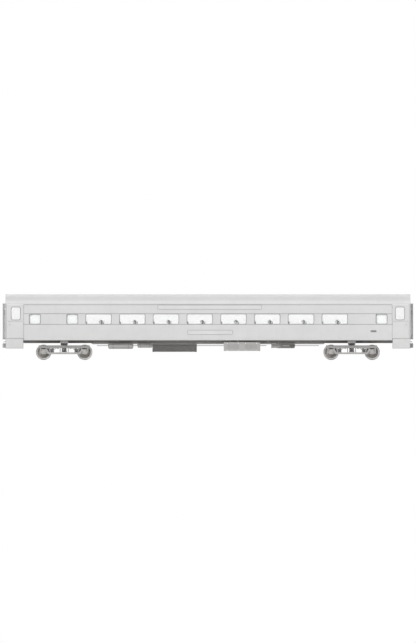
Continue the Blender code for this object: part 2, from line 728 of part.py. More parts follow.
def bogie_bolster(name, pivot, holder):
    """The sprung cross beam that carries the body, with its springs and spring plank."""
    pieces = [cuboid((pivot - BOLSTER_HALF, pivot + BOLSTER_HALF),
                     (-BOLSTER_REACH, BOLSTER_REACH), BOLSTER_Z),
              cylinder((pivot, 0, BOWL_TOP - BOWL_DEPTH / 2), (0, 0, 1), BOWL_RADIUS, BOWL_DEPTH),
              cuboid((pivot - PLANK_HALF, pivot + PLANK_HALF), (-PLANK_REACH, PLANK_REACH),
                     PLANK_Z)]
    spring_low = PLANK_Z[1] - BITE
    spring_high = BOLSTER_Z[0] + 2 * BITE
    for side in (1, -1):
        across = side * BOLSTER_SPRING_Y
        pieces.append(cylinder((pivot, across, (spring_low + spring_high) / 2), (0, 0, 1),
                               BOLSTER_SPRING_RADIUS, spring_high - spring_low, 16))
        pieces.append(cuboid((pivot - BEARING_HALF, pivot + BEARING_HALF),
                             (across - BEARING_HALF, across + BEARING_HALF),
                             (BOLSTER_Z[1] - BITE, BEARING_TOP)))
    part(name + "_bogie_bolster", join(*pieces), (pivot, 0, PLATE_LOW), "bogie_steel",
         parent=holder)


def bogie_side_gear(name, pivot, side, holder):
    """Two axle boxes joined by the equalizer beam, with the springs that stand on it."""
    pieces = []
    bores = []
    spring_low = SPRING_SEAT_Z[1] - BITE
    for axle in (1, -1):
        middle = pivot + axle * HALF_WHEELBASE
        pieces.append(cuboid((middle - AXLE_BOX_HALF, middle + AXLE_BOX_HALF),
                             (side * AXLE_BOX_Y[0], side * AXLE_BOX_Y[1]),
                             (AXLE_Z - AXLE_BOX_BELOW, AXLE_Z + AXLE_BOX_ABOVE)))
        bores.append(cylinder((middle, side * AXLE_BORE_Y, AXLE_Z), (0, 1, 0), AXLE_BORE,
                              AXLE_BORE_LENGTH))
        seat = pivot + axle * GEAR_SPRING_X
        pieces.append(cuboid((seat - SPRING_SEAT_HALF, seat + SPRING_SEAT_HALF),
                             (side * SPRING_SEAT_Y[0], side * SPRING_SEAT_Y[1]), SPRING_SEAT_Z))
        pieces.append(cylinder((seat, side * GEAR_SPRING_Y, (spring_low + GEAR_SPRING_TOP) / 2),
                               (0, 0, 1), GEAR_SPRING_RADIUS, GEAR_SPRING_TOP - spring_low, 16))
    half = EQUALIZER_TOP + EQUALIZER_FOOT
    outline = [(pivot + along, up) for along, up in mirrored(half)]
    beam = slab([outline], "XZ", side * EQUALIZER[0], side * EQUALIZER[1])
    gear = cut(join(beam, *pieces), *bores)
    part(name + "_side_gear", gear, (pivot, side * SIDE_FRAME[1], AXLE_Z), "bogie_steel",
         parent=holder)


def wheelset(name, pivot, axle, holder):
    """An axle with its two wheels, turned from one profile."""
    tip = WHEEL_RADIUS + FLANGE
    face = WHEEL_BACK + RIM_WIDTH
    rim_inside = WHEEL_RADIUS - RIM_DEPTH
    web = WHEEL_BACK + WEB
    half = [(0, AXLE_END), (JOURNAL_RADIUS, AXLE_END), (JOURNAL_RADIUS, JOURNAL_START),
            WHEEL_SEAT, (HUB_RADIUS, web + 0.030), (rim_inside, web + 0.020),
            (rim_inside, face), (WHEEL_RADIUS - 0.004, face),
            (WHEEL_RADIUS, WHEEL_BACK + 0.045), (tip, WHEEL_BACK + 0.020),
            (tip, WHEEL_BACK + 0.010), (rim_inside, WHEEL_BACK),
            (HUB_RADIUS, WHEEL_BACK + 0.010), (AXLE_RADIUS, WHEEL_BACK - 0.050)]
    profile = half + [(radius, -along) for radius, along in reversed(half)]
    centre = (pivot + axle * HALF_WHEELBASE, 0, AXLE_Z)
    shape = turned(profile, centre, math.pi / WHEEL_SIDES)
    part(name, shape, centre, "wheel_steel", parent=holder, smooth=True)


def bogie(name, pivot):
    holder = bpy.data.objects.new(name + "_bogie_pivot", None)
    COACH.objects.link(holder)
    holder.location = (pivot, 0, PLATE_LOW)
    bogie_frame(name, pivot, holder)
    bogie_bolster(name, pivot, holder)
    bogie_side_gear(name + "_bogie_left", pivot, 1, holder)
    bogie_side_gear(name + "_bogie_right", pivot, -1, holder)
    wheelset(name + "_bogie_front_wheelset", pivot, 1, holder)
    wheelset(name + "_bogie_rear_wheelset", pivot, -1, holder)


def coupler(name, end):
    """A knuckle coupler on its shank, which swings about a pin in the underframe."""
    head = slab([[(end * along, end * across) for along, across in COUPLER_HEAD]], "XY",
                COUPLER_Z - HEAD_HALF_HEIGHT, COUPLER_Z + HEAD_HALF_HEIGHT)
    shank = cuboid((end * COUPLER_PIN_X, end * HEAD_START), (-SHANK_HALF, SHANK_HALF),
                   (COUPLER_Z - SHANK_HALF, COUPLER_Z + SHANK_HALF))
    eye = cylinder((end * COUPLER_PIN_X, 0, COUPLER_Z), (0, 0, 1), EYE_RADIUS, EYE_HEIGHT)
    part(name + "_coupler", join(head, shank, eye), (end * COUPLER_PIN_X, 0, COUPLER_Z),
         "bogie_steel")


# ---------------------------------------------------------------- the whole coach

def build():
    underframe()
    floor()
    roof()
    for name, side in (("left", 1), ("right", -1)):
        side_wall_and_glass(name, side)
        seats(name, side)
    for name, end in (("front", 1), ("rear", -1)):
        end_wall(name, end)
        diaphragm(name, end)
        coupler(name, end)
        inner_door(name + "_end_door", end, END_LEAF_X, END_LEAF_HALF, LEAF)
        inner_door(name + "_saloon_door", end, INNER_LEAF_X, INNER_LEAF_HALF, INNER_LEAF)
        bogie(name, end * BOGIE_X)
        for side_name, side in (("left", 1), ("right", -1)):
            corner = name + "_" + side_name
            side_door(corner, end, side)
            trap_door(corner, end, side)
            step_cover(corner, end, side)
            stair(corner, end, side)
    partitions("front", 1, FRONT_ROOMS, (), FRONT_PASSAGES)
    partitions("rear", -1, REAR_ROOMS, (REAR_CROSS_WALL,), REAR_PASSAGES)
    equipment_box("battery_box", -1, *BATTERY_BOX)
    equipment_box("air_conditioner", 1, *AIR_CONDITIONER)


clear_scene()
COACH = add_collection("passenger_coach")
MATERIALS = {name: make_material(name) for name in FINISHES}
build()
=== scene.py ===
"""Looks of the passenger coach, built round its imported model.

Units are metres. X runs along the coach with +X at its front, +Y is its left and Z is up.
The flange tips stand on Z = 0. Each function makes one kind of piece, for one side, end or
corner of the coach at a time.
"""
import math

import bmesh
import bpy
from mathutils import Matrix, Vector


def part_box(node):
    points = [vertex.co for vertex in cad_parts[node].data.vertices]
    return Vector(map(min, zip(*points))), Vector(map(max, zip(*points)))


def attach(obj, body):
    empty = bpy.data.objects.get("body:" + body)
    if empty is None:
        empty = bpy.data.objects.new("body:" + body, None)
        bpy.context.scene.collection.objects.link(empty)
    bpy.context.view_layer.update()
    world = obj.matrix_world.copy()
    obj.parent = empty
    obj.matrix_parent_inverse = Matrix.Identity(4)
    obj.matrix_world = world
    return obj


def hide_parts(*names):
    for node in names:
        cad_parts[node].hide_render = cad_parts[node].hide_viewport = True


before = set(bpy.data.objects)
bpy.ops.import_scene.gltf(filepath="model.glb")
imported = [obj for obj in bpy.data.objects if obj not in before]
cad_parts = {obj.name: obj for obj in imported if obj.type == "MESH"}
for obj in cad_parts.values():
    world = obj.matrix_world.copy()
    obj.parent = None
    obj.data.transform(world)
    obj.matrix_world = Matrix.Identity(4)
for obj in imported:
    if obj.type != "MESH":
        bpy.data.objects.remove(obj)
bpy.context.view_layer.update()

ENDS = (("front", 1), ("rear", -1))
SIDES = (("left", 1), ("right", -1))

# ---------------------------------------------------------------- places from the frame

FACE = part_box("left_side_wall")[1].y           # outer face of a side wall
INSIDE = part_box("left_side_wall")[0].y         # its inner face
JAMB_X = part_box("left_side_wall")[1].x
SIDE_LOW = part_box("left_side_wall")[0].z
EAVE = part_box("left_side_wall")[1].z
HALF_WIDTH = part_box("roof")[1].y
HALF_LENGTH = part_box("roof")[1].x
ROOF_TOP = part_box("roof")[1].z
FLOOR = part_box("floor")[1].z
POST_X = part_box("front_end_wall")[0].x
DOOR_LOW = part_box("front_left_lower_door")[0]
DOOR_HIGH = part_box("front_left_upper_door")[1]
DOOR_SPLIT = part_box("front_left_lower_door")[1].z
COVER_LOW, COVER_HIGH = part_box("front_left_step_cover")
TRAP_LOW, TRAP_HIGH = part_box("front_left_trap_door")
BOGIE_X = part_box("front_bogie_bolster")[0].x / 2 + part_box("front_bogie_bolster")[1].x / 2
AXLE_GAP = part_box("front_bogie_front_wheelset")[1].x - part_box("front_bogie_rear_wheelset")[1].x
AXLE_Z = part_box("front_bogie_front_wheelset")[1].z / 2
AXLE_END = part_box("front_bogie_front_wheelset")[1].y
COUPLER_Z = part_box("front_coupler")[0].z / 2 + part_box("front_coupler")[1].z / 2
COUPLER_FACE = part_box("front_coupler")[1].x
GANGWAY_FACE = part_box("front_diaphragm")[1].x

# ---------------------------------------------------------------- sizes that the frame leaves

WINDOW_LOW = 2.257
WINDOW_HIGH = 2.898
WINDOW_CORNER = 0.110
LARGE_WINDOW = 1.615
LARGE_COUNT = 8
LARGE_PITCH = 2.129
LARGE_CENTRE = 0.552
SMALL_WINDOW = 0.700
SMALL_CENTRES = (-10.920, -8.560, 10.960)
DOOR_WINDOW = (11.830, 12.410, 2.528, 3.338)
DOOR_WINDOW_CORNER = 0.120
ROOF_FULLNESS = 2.35
ROOF_STEPS = 96
ROOF_SKIN = 0.070
SEAT_PITCH = LARGE_PITCH / 2
PROUD = 0.008                # how far mouldings stand from the wall

# Mouldings, the blank boards (along, up, length, height) and the roof
BAND_LOW = WINDOW_LOW - 0.014
BAND_HIGH = WINDOW_HIGH + 0.020
MOULDINGS = ((SIDE_LOW + 0.002, SIDE_LOW + 0.030), (BAND_LOW - 0.017, BAND_LOW + 0.017),
             (BAND_HIGH - 0.017, BAND_HIGH + 0.017), (EAVE - 0.036, EAVE - 0.004))
BOARDS = ((0.110, 3.327, 6.580, 0.300), (0.136, 1.739, 2.860, 0.300))
NUMBER_MARK = (10.450, 1.811, 0.380, 0.130)
ROOF_RIB = 0.004

# Stairs and end walls
STAIR_OUTER = 1.478
STAIR_LOW = 0.765            # top of the lowest step
STAIR_RISE = 0.208
STAIR_GOING = 0.290
STAIR_COUNT = 3
STAIR_POST_Y = 1.440
END_RAIL_Y = 1.380
END_RAIL = (1.560, 2.600)
RUNGS = [1.640 + 0.380 * index for index in range(5)]
RUNG_Y = (0.760, 1.060)
MARKER = (1.190, 3.200)
SOCKET_Y = 0.880
INNER_RAIL_Y = 0.500

# Doors across a passage, and the gangways
PANE = (-0.210, 0.210, 2.350, 3.100)
PANE_CORNER = 0.060
BELLOWS_OUTER = (-0.556, 0.556, 1.294, 3.556)
BELLOWS_INNER = (-0.423, 0.423, 1.376, 3.417)
BELLOWS_FOLDS = 4
PLATE_OUTER = (-0.588, 0.588, 1.272, 3.588)
PLATE_INNER = (-0.412, 0.412, 1.377, 3.408)

# Under the floor: tanks (start, end, across, up, radius) and pipes (across, up)
TANKS = ((-6.300, -4.700, -0.980, 0.900, 0.200), (-4.450, -3.500, -0.980, 0.930, 0.160),
         (4.300, 5.500, 0.980, 0.920, 0.180))
PIPES = ((1.180, 1.030), (1.120, 1.030), (-1.250, 1.010))
PIPE_END = 7.350
BRAKE_RODS = ((5.150, 7.000, -0.420), (3.700, -7.000, 0.350))
BRAKE_Z = 0.900

# Bogies
FRAME_Y = (0.930, 1.050)
PEDESTAL_LEG = 0.200
TRANSOM_X = 0.400
TRANSOM_REACH = 0.968
END_SILL_X = 1.585
HANGER_X = 0.255
HANGER_Y = 0.790
BOLSTER_SPRING_X = 0.085
BOLSTER_SPRING_Y = 0.640
BOLSTER_REACH = 0.878
PLANK_REACH = 0.858
GEAR_SPRING_X = 0.720
GEAR_SPRING_Y = 0.990
FRAME_WEB = [(-1.618, 0.790), (-1.500, 0.745), (-1.080, 0.745), (-0.900, 0.765),
             (0.900, 0.765), (1.080, 0.745), (1.500, 0.745), (1.618, 0.790), (1.618, 0.905),
             (1.560, 0.918), (-1.560, 0.918), (-1.618, 0.905)]
WHEEL_BACK = 0.6765
WHEEL_FACE = 0.8165
FLANGE = 0.028
RIM_DEPTH = 0.070
SHOE_RADIUS = 0.474

# Couplers, as outlines seen from above at the front end
COUPLER_HEAD = [
    (12.650, -0.074), (12.700, -0.120), (12.745, -0.158), (12.800, -0.169), (12.900, -0.167),
    (12.945, -0.145), (12.952, -0.118), (12.930, -0.100), (12.890, -0.060), (12.878, 0.000),
    (12.880, 0.060), (12.900, 0.110), (12.938, 0.142), (12.934, 0.170), (12.912, 0.178),
    (12.840, 0.166), (12.750, 0.146), (12.690, 0.100), (12.650, 0.074)]
KNUCKLE = [(12.884, -0.064), (12.915, -0.082), (12.940, -0.070), (12.9535, -0.030),
           (12.9535, 0.012), (12.944, 0.028), (12.918, 0.022), (12.892, 0.036)]
KNUCKLE_PIN = (12.905, -0.094)
HEAD_HALF = 0.139
SHANK = (12.030, 12.690)
DRAW_PIN_X = 12.020

# Inside
SALOON = (-7.950, 9.250)
ROOM_STARTS = {"front": 9.350, "rear": 8.050}
VESTIBULE = (11.645, 12.640)
CEILING_SPANS = ((-11.575, -9.705), (-9.695, -8.055), (-8.045, 9.345), (9.355, 11.575),
                 VESTIBULE, (-VESTIBULE[1], -VESTIBULE[0]))
ROUND_LAMPS = (-12.140, -10.640, -8.870, 10.440, 12.140)
RACK_RODS = ((1.020, 3.060), (1.110, 3.050), (1.200, 3.045), (1.290, 3.045))
RACK_BRACKET = [(0.985, 3.080), (1.000, 3.045), (1.300, 3.020), (1.4235, 2.985),
                (1.4235, 3.080), (1.330, 3.050), (1.030, 3.065)]
HEATER_SLOTS = 60

# Seats: a pad's size and cloth cell, then its middle along and above the row's floor
CUSHION = ((0.480, 0.505, 0.115), 0.052)
BACK = ((0.660, 0.500, 0.105), 0.056)
CUSHION_AT = (0.060, 0.385)
BACK_AT = (-0.280, 0.770)
CUSHION_TILT = 4
BACK_LEAN = 14
PAD_PRESSURE = 4.0
PAD_STEPS = 20
PAD_SWELL = 0.020            # the most that a pad's skin may move
SEATS_ACROSS = (0.590, 1.110)
ARMS_ACROSS = (0.334, 0.850, 1.366)
SEAT_SHELL = [(-0.305, 0.330), (-0.262, 0.330), (-0.385, 1.100), (-0.410, 1.120),
              (-0.430, 1.100)]
ARM_REST = [(-0.300, 0.560), (0.130, 0.540), (0.170, 0.560), (0.176, 0.585), (0.150, 0.604),
            (-0.310, 0.612)]

# Stage, light and camera. A sun has a name, its turn, strength and breadth in degrees.
STAGE_REACH = 1500
STAGE_GREYS = (0.92, 0.94)
WORLD_LIGHT = 0.55
SUNS = (("key", (55, 0, -22), 2.2, 35), ("fill", (60, 0, 150), 1.0, 60))
CAMERA_PLACE = (0.006, -400, 2.424)
CAMERA_REACH = 3000
PICTURE_SPAN = 40.57

# The finish of each carried-over node, by the end of its name
NODE_FINISHES = {
    "side_wall": "body", "end_wall": "post", "floor": "floor", "underframe": "underframe",
    "lower_door": "body", "upper_door": "body", "step_cover": "body", "trap_door": "plate",
    "stair": "post", "end_door": "door", "saloon_door": "door", "partitions": "panel",
    "battery_box": "equipment", "air_conditioner": "equipment", "door_glass": "glass",
    "window_glass": "glass",
}

PLANES = {
    "XY": Matrix.Identity(4),
    "XZ": Matrix.Rotation(math.pi / 2, 4, "X"),
    "YZ": Matrix(((0, 0, 1, 0), (1, 0, 0, 0), (0, 1, 0, 0), (0, 0, 0, 1))),
}


# ---------------------------------------------------------------- materials

class Nodes:
    """A material's node tree, with short ways to add and join nodes."""

    def __init__(self, name):
        self.material = bpy.data.materials.new(name)
        self.material.use_nodes = True
        self.tree = self.material.node_tree
        self.shader = self.tree.nodes["Principled BSDF"]
        self.place = self.tree.nodes.new("ShaderNodeTexCoord").outputs["Object"]

    def add(self, kind, inputs=None, **settings):
        node = self.tree.nodes.new("ShaderNode" + kind)
        for setting, value in settings.items():
            setattr(node, setting, value)
        for socket, value in (inputs or {}).items():
            self.put(node.inputs[socket], value)
        return node

    def put(self, socket, value):
        if isinstance(value, bpy.types.NodeSocket):
            self.tree.links.new(value, socket)
        else:
            socket.default_value = value

    def stretched(self, scale):
        return self.add("Mapping", {"Vector": self.place, "Scale": scale}).outputs["Vector"]

    def noise(self, scale, detail=4, place=None):
        inputs = {"Vector": place or self.place, "Scale": scale, "Detail": detail}
        return self.add("TexNoise", inputs).outputs["Fac"]

    def range(self, value, low, high, start=0.3, end=0.7):
        inputs = {"Value": value, "From Min": start, "From Max": end, "To Min": low,
                  "To Max": high}
        return self.add("MapRange", inputs).outputs["Result"]

    def mix(self, factor, first, second):
        node = self.add("Mix", data_type="RGBA")
        self.put(node.inputs["Factor"], factor)
        self.put(node.inputs["A"], first)
        self.put(node.inputs["B"], second)
        return node.outputs["Result"]

    def bump(self, height, distance, strength=0.5, before=None):
        inputs = {"Height": height, "Distance": distance, "Strength": strength}
        if before is not None:
            inputs["Normal"] = before
        return self.add("Bump", inputs).outputs["Normal"]

    def shade(self, **inputs):
        for socket, value in inputs.items():
            self.put(self.shader.inputs[socket.replace("_", " ")], value)
        return self.material


def grey(level):
    return (level, level, level, 1)


def tinted(colour, factor):
    return (*(min(channel * factor, 1) for channel in colour[:3]), 1)


def weathered(nodes, colour, dust, streaks):
    """A paint colour with clouding, rain streaks and dust that thickens towards the track."""
    cloudy = nodes.range(nodes.noise(0.9, 5), 0, 1)
    base = nodes.mix(cloudy, tinted(colour, 0.97), tinted(colour, 1.02))
    streaky = nodes.noise(7, 3, nodes.stretched((1, 1, 0.1)))
    base = nodes.mix(nodes.range(streaky, 0, streaks, 0.52, 0.8), base, tinted(colour, 0.72))
    height = nodes.add("SeparateXYZ", {"Vector": nodes.place}).outputs["Z"]
    low = nodes.range(height, 1, 0, 0.2, 2.4)
    patchy = nodes.range(nodes.noise(5, 6), 0.3, 1)
    amount = nodes.add("Math", {0: low, 1: patchy}, operation="MULTIPLY").outputs["Value"]
    amount = nodes.add("Math", {0: amount, 1: dust}, operation="MULTIPLY").outputs["Value"]
    return nodes.mix(amount, base, (0.36, 0.33, 0.29, 1))


def painted(name, colour, roughness=0.36, dust=0.12, streaks=0.10, ripple=0.0006, metallic=0.0):
    """Sprayed enamel on sheet metal, slightly rippled between its welds."""
    nodes = Nodes(name)
    fine = nodes.noise(240, 2)
    sheet = nodes.noise(1.6, 2, nodes.stretched((1, 1, 0.5)))
    normal = nodes.bump(sheet, ripple * 8, 0.25)
    normal = nodes.bump(fine, ripple * 0.3, 0.2, normal)
    rough = nodes.range(nodes.noise(4, 5), roughness - 0.06, roughness + 0.12)
    return nodes.shade(Base_Color=weathered(nodes, colour, dust, streaks), Roughness=rough,
                       Metallic=metallic, Normal=normal)


def cast_steel(name, colour, roughness=0.55, dust=0.45, metallic=0.15):
    """Painted casting: a sandy skin, with dust and a little rust in its hollows."""
    nodes = Nodes(name)
    base = weathered(nodes, colour, dust, 0.2)
    rust = nodes.range(nodes.noise(11, 8), 0, 0.35, 0.62, 0.78)
    base = nodes.mix(rust, base, (0.20, 0.11, 0.06, 1))
    skin = nodes.bump(nodes.noise(130, 5), 0.0015, 0.5)
    rough = nodes.range(nodes.noise(15, 4), roughness - 0.1, roughness + 0.2)
    return nodes.shade(Base_Color=base, Roughness=rough, Metallic=metallic, Normal=skin)


def turned_steel(name, colour, roughness=0.22):
    """Bright rolled or turned steel with fine tool marks round its axis."""
    nodes = Nodes(name)
    marks = nodes.noise(90, 3, nodes.stretched((0.1, 6, 0.1)))
    base = nodes.mix(nodes.range(nodes.noise(12, 5), 0, 1), tinted(colour, 0.8),
                     tinted(colour, 1.1))
    rough = nodes.range(marks, roughness, roughness + 0.2)
    return nodes.shade(Base_Color=base, Roughness=rough, Metallic=0.95,
                       Normal=nodes.bump(marks, 0.0004, 0.4))


def brushed(name, colour, roughness=0.3):
    """Stainless trim with a fine grain along Z."""
    nodes = Nodes(name)
    grain = nodes.noise(60, 4, nodes.stretched((0.4, 0.4, 9)))
    base = nodes.mix(nodes.range(nodes.noise(3, 4), 0, 1), tinted(colour, 0.9), colour)
    rough = nodes.range(grain, roughness - 0.05, roughness + 0.15)
    return nodes.shade(Base_Color=base, Roughness=rough, Metallic=0.9,
                       Normal=nodes.bump(grain, 0.0003, 0.3))


def tread_plate(name, colour):
    """Rolled floor plate with raised bars in a diamond pattern, worn bright on top."""
    nodes = Nodes(name)
    bars = []
    for turn in (45, -45):
        place = nodes.add("Mapping", {"Vector": nodes.place, "Scale": (1, 1, 1),
                                      "Rotation": (0, 0, math.radians(turn))})
        wave = nodes.add("TexWave", {"Vector": place.outputs["Vector"], "Scale": 9.0})
        bars.append(nodes.range(wave.outputs["Fac"], 0, 1, 0.72, 0.9))
    raised = nodes.add("Math", {0: bars[0], 1: bars[1]}, operation="MAXIMUM").outputs["Value"]
    dull = nodes.mix(nodes.range(nodes.noise(9, 5), 0, 1), tinted(colour, 0.65), colour)
    base = nodes.mix(raised, dull, tinted(colour, 1.5))
    return nodes.shade(Base_Color=base, Roughness=nodes.range(raised, 0.55, 0.3, 0, 1),
                       Metallic=0.8, Normal=nodes.bump(raised, 0.002, 0.6))


def rubber(name, colour, scale=70):
    """Matt rubber or proofed canvas, greyed in places by handling."""
    nodes = Nodes(name)
    base = nodes.mix(nodes.range(nodes.noise(6, 6), 0, 1), tinted(colour, 0.7),
                     tinted(colour, 1.7))
    return nodes.shade(Base_Color=base, Roughness=nodes.range(nodes.noise(20, 4), 0.6, 0.9),
                       Normal=nodes.bump(nodes.noise(scale, 5), 0.001, 0.4))


def fabric(name, colour, thread=260):
    """A ribbed plush: two crossing sets of threads under a soft sheen."""
    nodes = Nodes(name)
    warp = nodes.add("TexWave", {"Vector": nodes.place, "Scale": thread, "Distortion": 1.5},
                     bands_direction="Y").outputs["Fac"]
    weft = nodes.add("TexWave", {"Vector": nodes.place, "Scale": thread, "Distortion": 1.5},
                     bands_direction="DIAGONAL").outputs["Fac"]
    cloth = nodes.add("Math", {0: warp, 1: weft}, operation="MULTIPLY").outputs["Value"]
    worn = nodes.range(nodes.noise(5, 6), 0, 1)
    base = nodes.mix(worn, tinted(colour, 0.85), tinted(colour, 1.12))
    base = nodes.mix(nodes.range(cloth, 0, 0.5, 0, 1), tinted(colour, 0.7), base)
    material = nodes.shade(Base_Color=base, Roughness=0.92, Normal=nodes.bump(cloth, 0.0012, 0.5))
    nodes.shader.inputs["Sheen Weight"].default_value = 0.25
    return material


def speckled(name, colour):
    """Sheet floor covering with small chips of two other shades."""
    nodes = Nodes(name)
    chips = nodes.add("TexVoronoi", {"Vector": nodes.place, "Scale": 160})
    shade = nodes.add("SeparateXYZ", {"Vector": chips.outputs["Color"]}).outputs["X"]
    base = nodes.mix(nodes.range(shade, 0, 1, 0.6, 0.65), colour, tinted(colour, 1.7))
    base = nodes.mix(nodes.range(shade, 0, 1, 0.88, 0.9), base, tinted(colour, 0.4))
    worn = nodes.range(nodes.noise(2, 5), 0.35, 0.6)
    return nodes.shade(Base_Color=base, Roughness=worn,
                       Normal=nodes.bump(nodes.noise(90, 3), 0.0005, 0.3))


def panel(name, colour, roughness=0.5):
    """Interior panelling in eggshell paint, with a faint roller texture."""
    nodes = Nodes(name)
    base = nodes.mix(nodes.range(nodes.noise(1.5, 5), 0, 1), tinted(colour, 0.95), colour)
    return nodes.shade(Base_Color=base, Roughness=nodes.range(nodes.noise(8, 4), roughness,
                                                              roughness + 0.12),
                       Normal=nodes.bump(nodes.noise(300, 3), 0.0004, 0.3))


def glass(name, colour, alpha, roughness=0.04):
    """Sheet glass that lets most light straight through, with a little dust on it."""
    nodes = Nodes(name)
    film = nodes.range(nodes.noise(3, 6), 0, 1)
    base = nodes.mix(film, colour, tinted(colour, 0.96))
    material = nodes.shade(Base_Color=base, Alpha=alpha,
                           Roughness=nodes.range(nodes.noise(9, 5), roughness, roughness + 0.05))
    return material


def glowing(name, colour, strength):
    """A lamp's diffuser, brighter where its tubes lie behind it."""
    nodes = Nodes(name)
    ribs = nodes.add("TexWave", {"Vector": nodes.place, "Scale": 12}).outputs["Fac"]
    base = nodes.mix(nodes.range(ribs, 0, 0.2, 0, 1), colour, tinted(colour, 0.8))
    return nodes.shade(Base_Color=base, Roughness=0.4, Emission_Color=base,
                       Emission_Strength=strength)


PAINT = (0.54, 0.54, 0.54, 1)
FINISHES = {
    "body": painted("body_paint", PAINT),
    # Painted shade: the roof is the same paint as the sides, made a little darker to even out the
    # stronger light that falls on it from above.
    "roof": painted("roof_paint_evened_for_top_light", tinted(PAINT, 0.985), 0.42, 0.0, 0.14, 0.0008),
    # The end walls, their posts and fittings are painted a darker grey. This is partly their own
    # paint and partly painted shade for the shaded corner strip at each end of the side.
    "post": painted("end_paint_with_corner_shade", tinted(PAINT, 0.82)),
    # Painted shade: the mouldings are the body's own metal, painted much darker so that their
    # edges read as the shade lines that the soft light does not give them.
    "moulding": painted("moulding_shade_paint", tinted(PAINT, 0.55), 0.4),
    "board": painted("board_paint", tinted(PAINT, 1.03), 0.3, 0.0, 0.0, 0.0002),
    "mark": painted("mark_paint", tinted(PAINT, 0.3), 0.3, 0.0, 0.0, 0.0002),
    "underframe": painted("underframe_paint", (0.27, 0.27, 0.27, 1), 0.6, 0.4, 0.3, 0.001),
    "equipment": painted("equipment_paint", (0.36, 0.36, 0.36, 1), 0.5, 0.35, 0.3, 0.001),
    "bogie": cast_steel("bogie_casting", (0.36, 0.36, 0.36, 1)),
    "spring": cast_steel("spring_steel", (0.20, 0.20, 0.21, 1), 0.4, 0.25, 0.5),
    "web": cast_steel("wheel_web", (0.26, 0.25, 0.24, 1), 0.6, 0.5, 0.3),
    "tread": turned_steel("wheel_tread", (0.62, 0.61, 0.60, 1)),
    "pipe": painted("pipe_paint", (0.24, 0.24, 0.24, 1), 0.5, 0.4, 0.2, 0.0005),
    # Near-black, used as painted shade in slots, cups and recesses, and for the dark ribs on the
    # stair nosings.
    "seam": rubber("seam_shadow", (0.05, 0.05, 0.05, 1)),
    "gasket": rubber("gasket_rubber", (0.06, 0.06, 0.06, 1)),
    "bellows": rubber("bellows_canvas", (0.20, 0.20, 0.20, 1), 260),
    "bright": brushed("bright_trim", (0.78, 0.78, 0.78, 1)),
    "plate": tread_plate("tread_plate", (0.34, 0.34, 0.35, 1)),
    "floor": speckled("floor_covering", (0.26, 0.22, 0.18, 1)),
    "panel": panel("inner_panel", (0.76, 0.74, 0.68, 1)),
    "ceiling": panel("ceiling_panel", (0.86, 0.86, 0.84, 1), 0.4),
    "door": panel("inner_door", (0.62, 0.60, 0.54, 1), 0.4),
    "seat": fabric("seat_plush", (0.56, 0.60, 0.62, 1)),
    "linen": fabric("head_linen", (0.85, 0.85, 0.82, 1), 420),
    "vinyl": rubber("arm_vinyl", (0.16, 0.15, 0.14, 1), 180),
    "glass": glass("window_glass", (0.96, 0.98, 0.98, 1), 0.10),
    "frosted": glass("frosted_glass", (0.90, 0.91, 0.91, 1), 0.86, 0.4),
    "lamp": glowing("lamp_diffuser", (1.0, 0.98, 0.94, 1), 7.0),
    "red_lens": glowing("marker_lens", (0.65, 0.04, 0.03, 1), 0.15),
}


# ---------------------------------------------------------------- shapes

def pair(sign, first, second):
    """Two distances on the side or at the end that the sign gives."""
    return (sign * first, sign * second)


def around(middle, half):
    """Both ends of a span, from its middle and half its length."""
    return (middle - half, middle + half)


def inset(edges, by):
    """The (left, right, low, high) of an opening, made smaller all round."""
    left, right, low, high = edges
    return (left + by, right - by, low + by, high - by)


def circle(across, up, radius, steps):
    turns = [2 * math.pi * step / steps for step in range(steps)]
    return [(across + radius * math.cos(turn), up + radius * math.sin(turn)) for turn in turns]


def quarter(sign, axis):
    """A quarter turn about an axis."""
    return Matrix.Rotation(sign * math.pi / 2, 4, axis)


def faces_of(made):
    return list({face for vertex in made for face in vertex.link_faces})


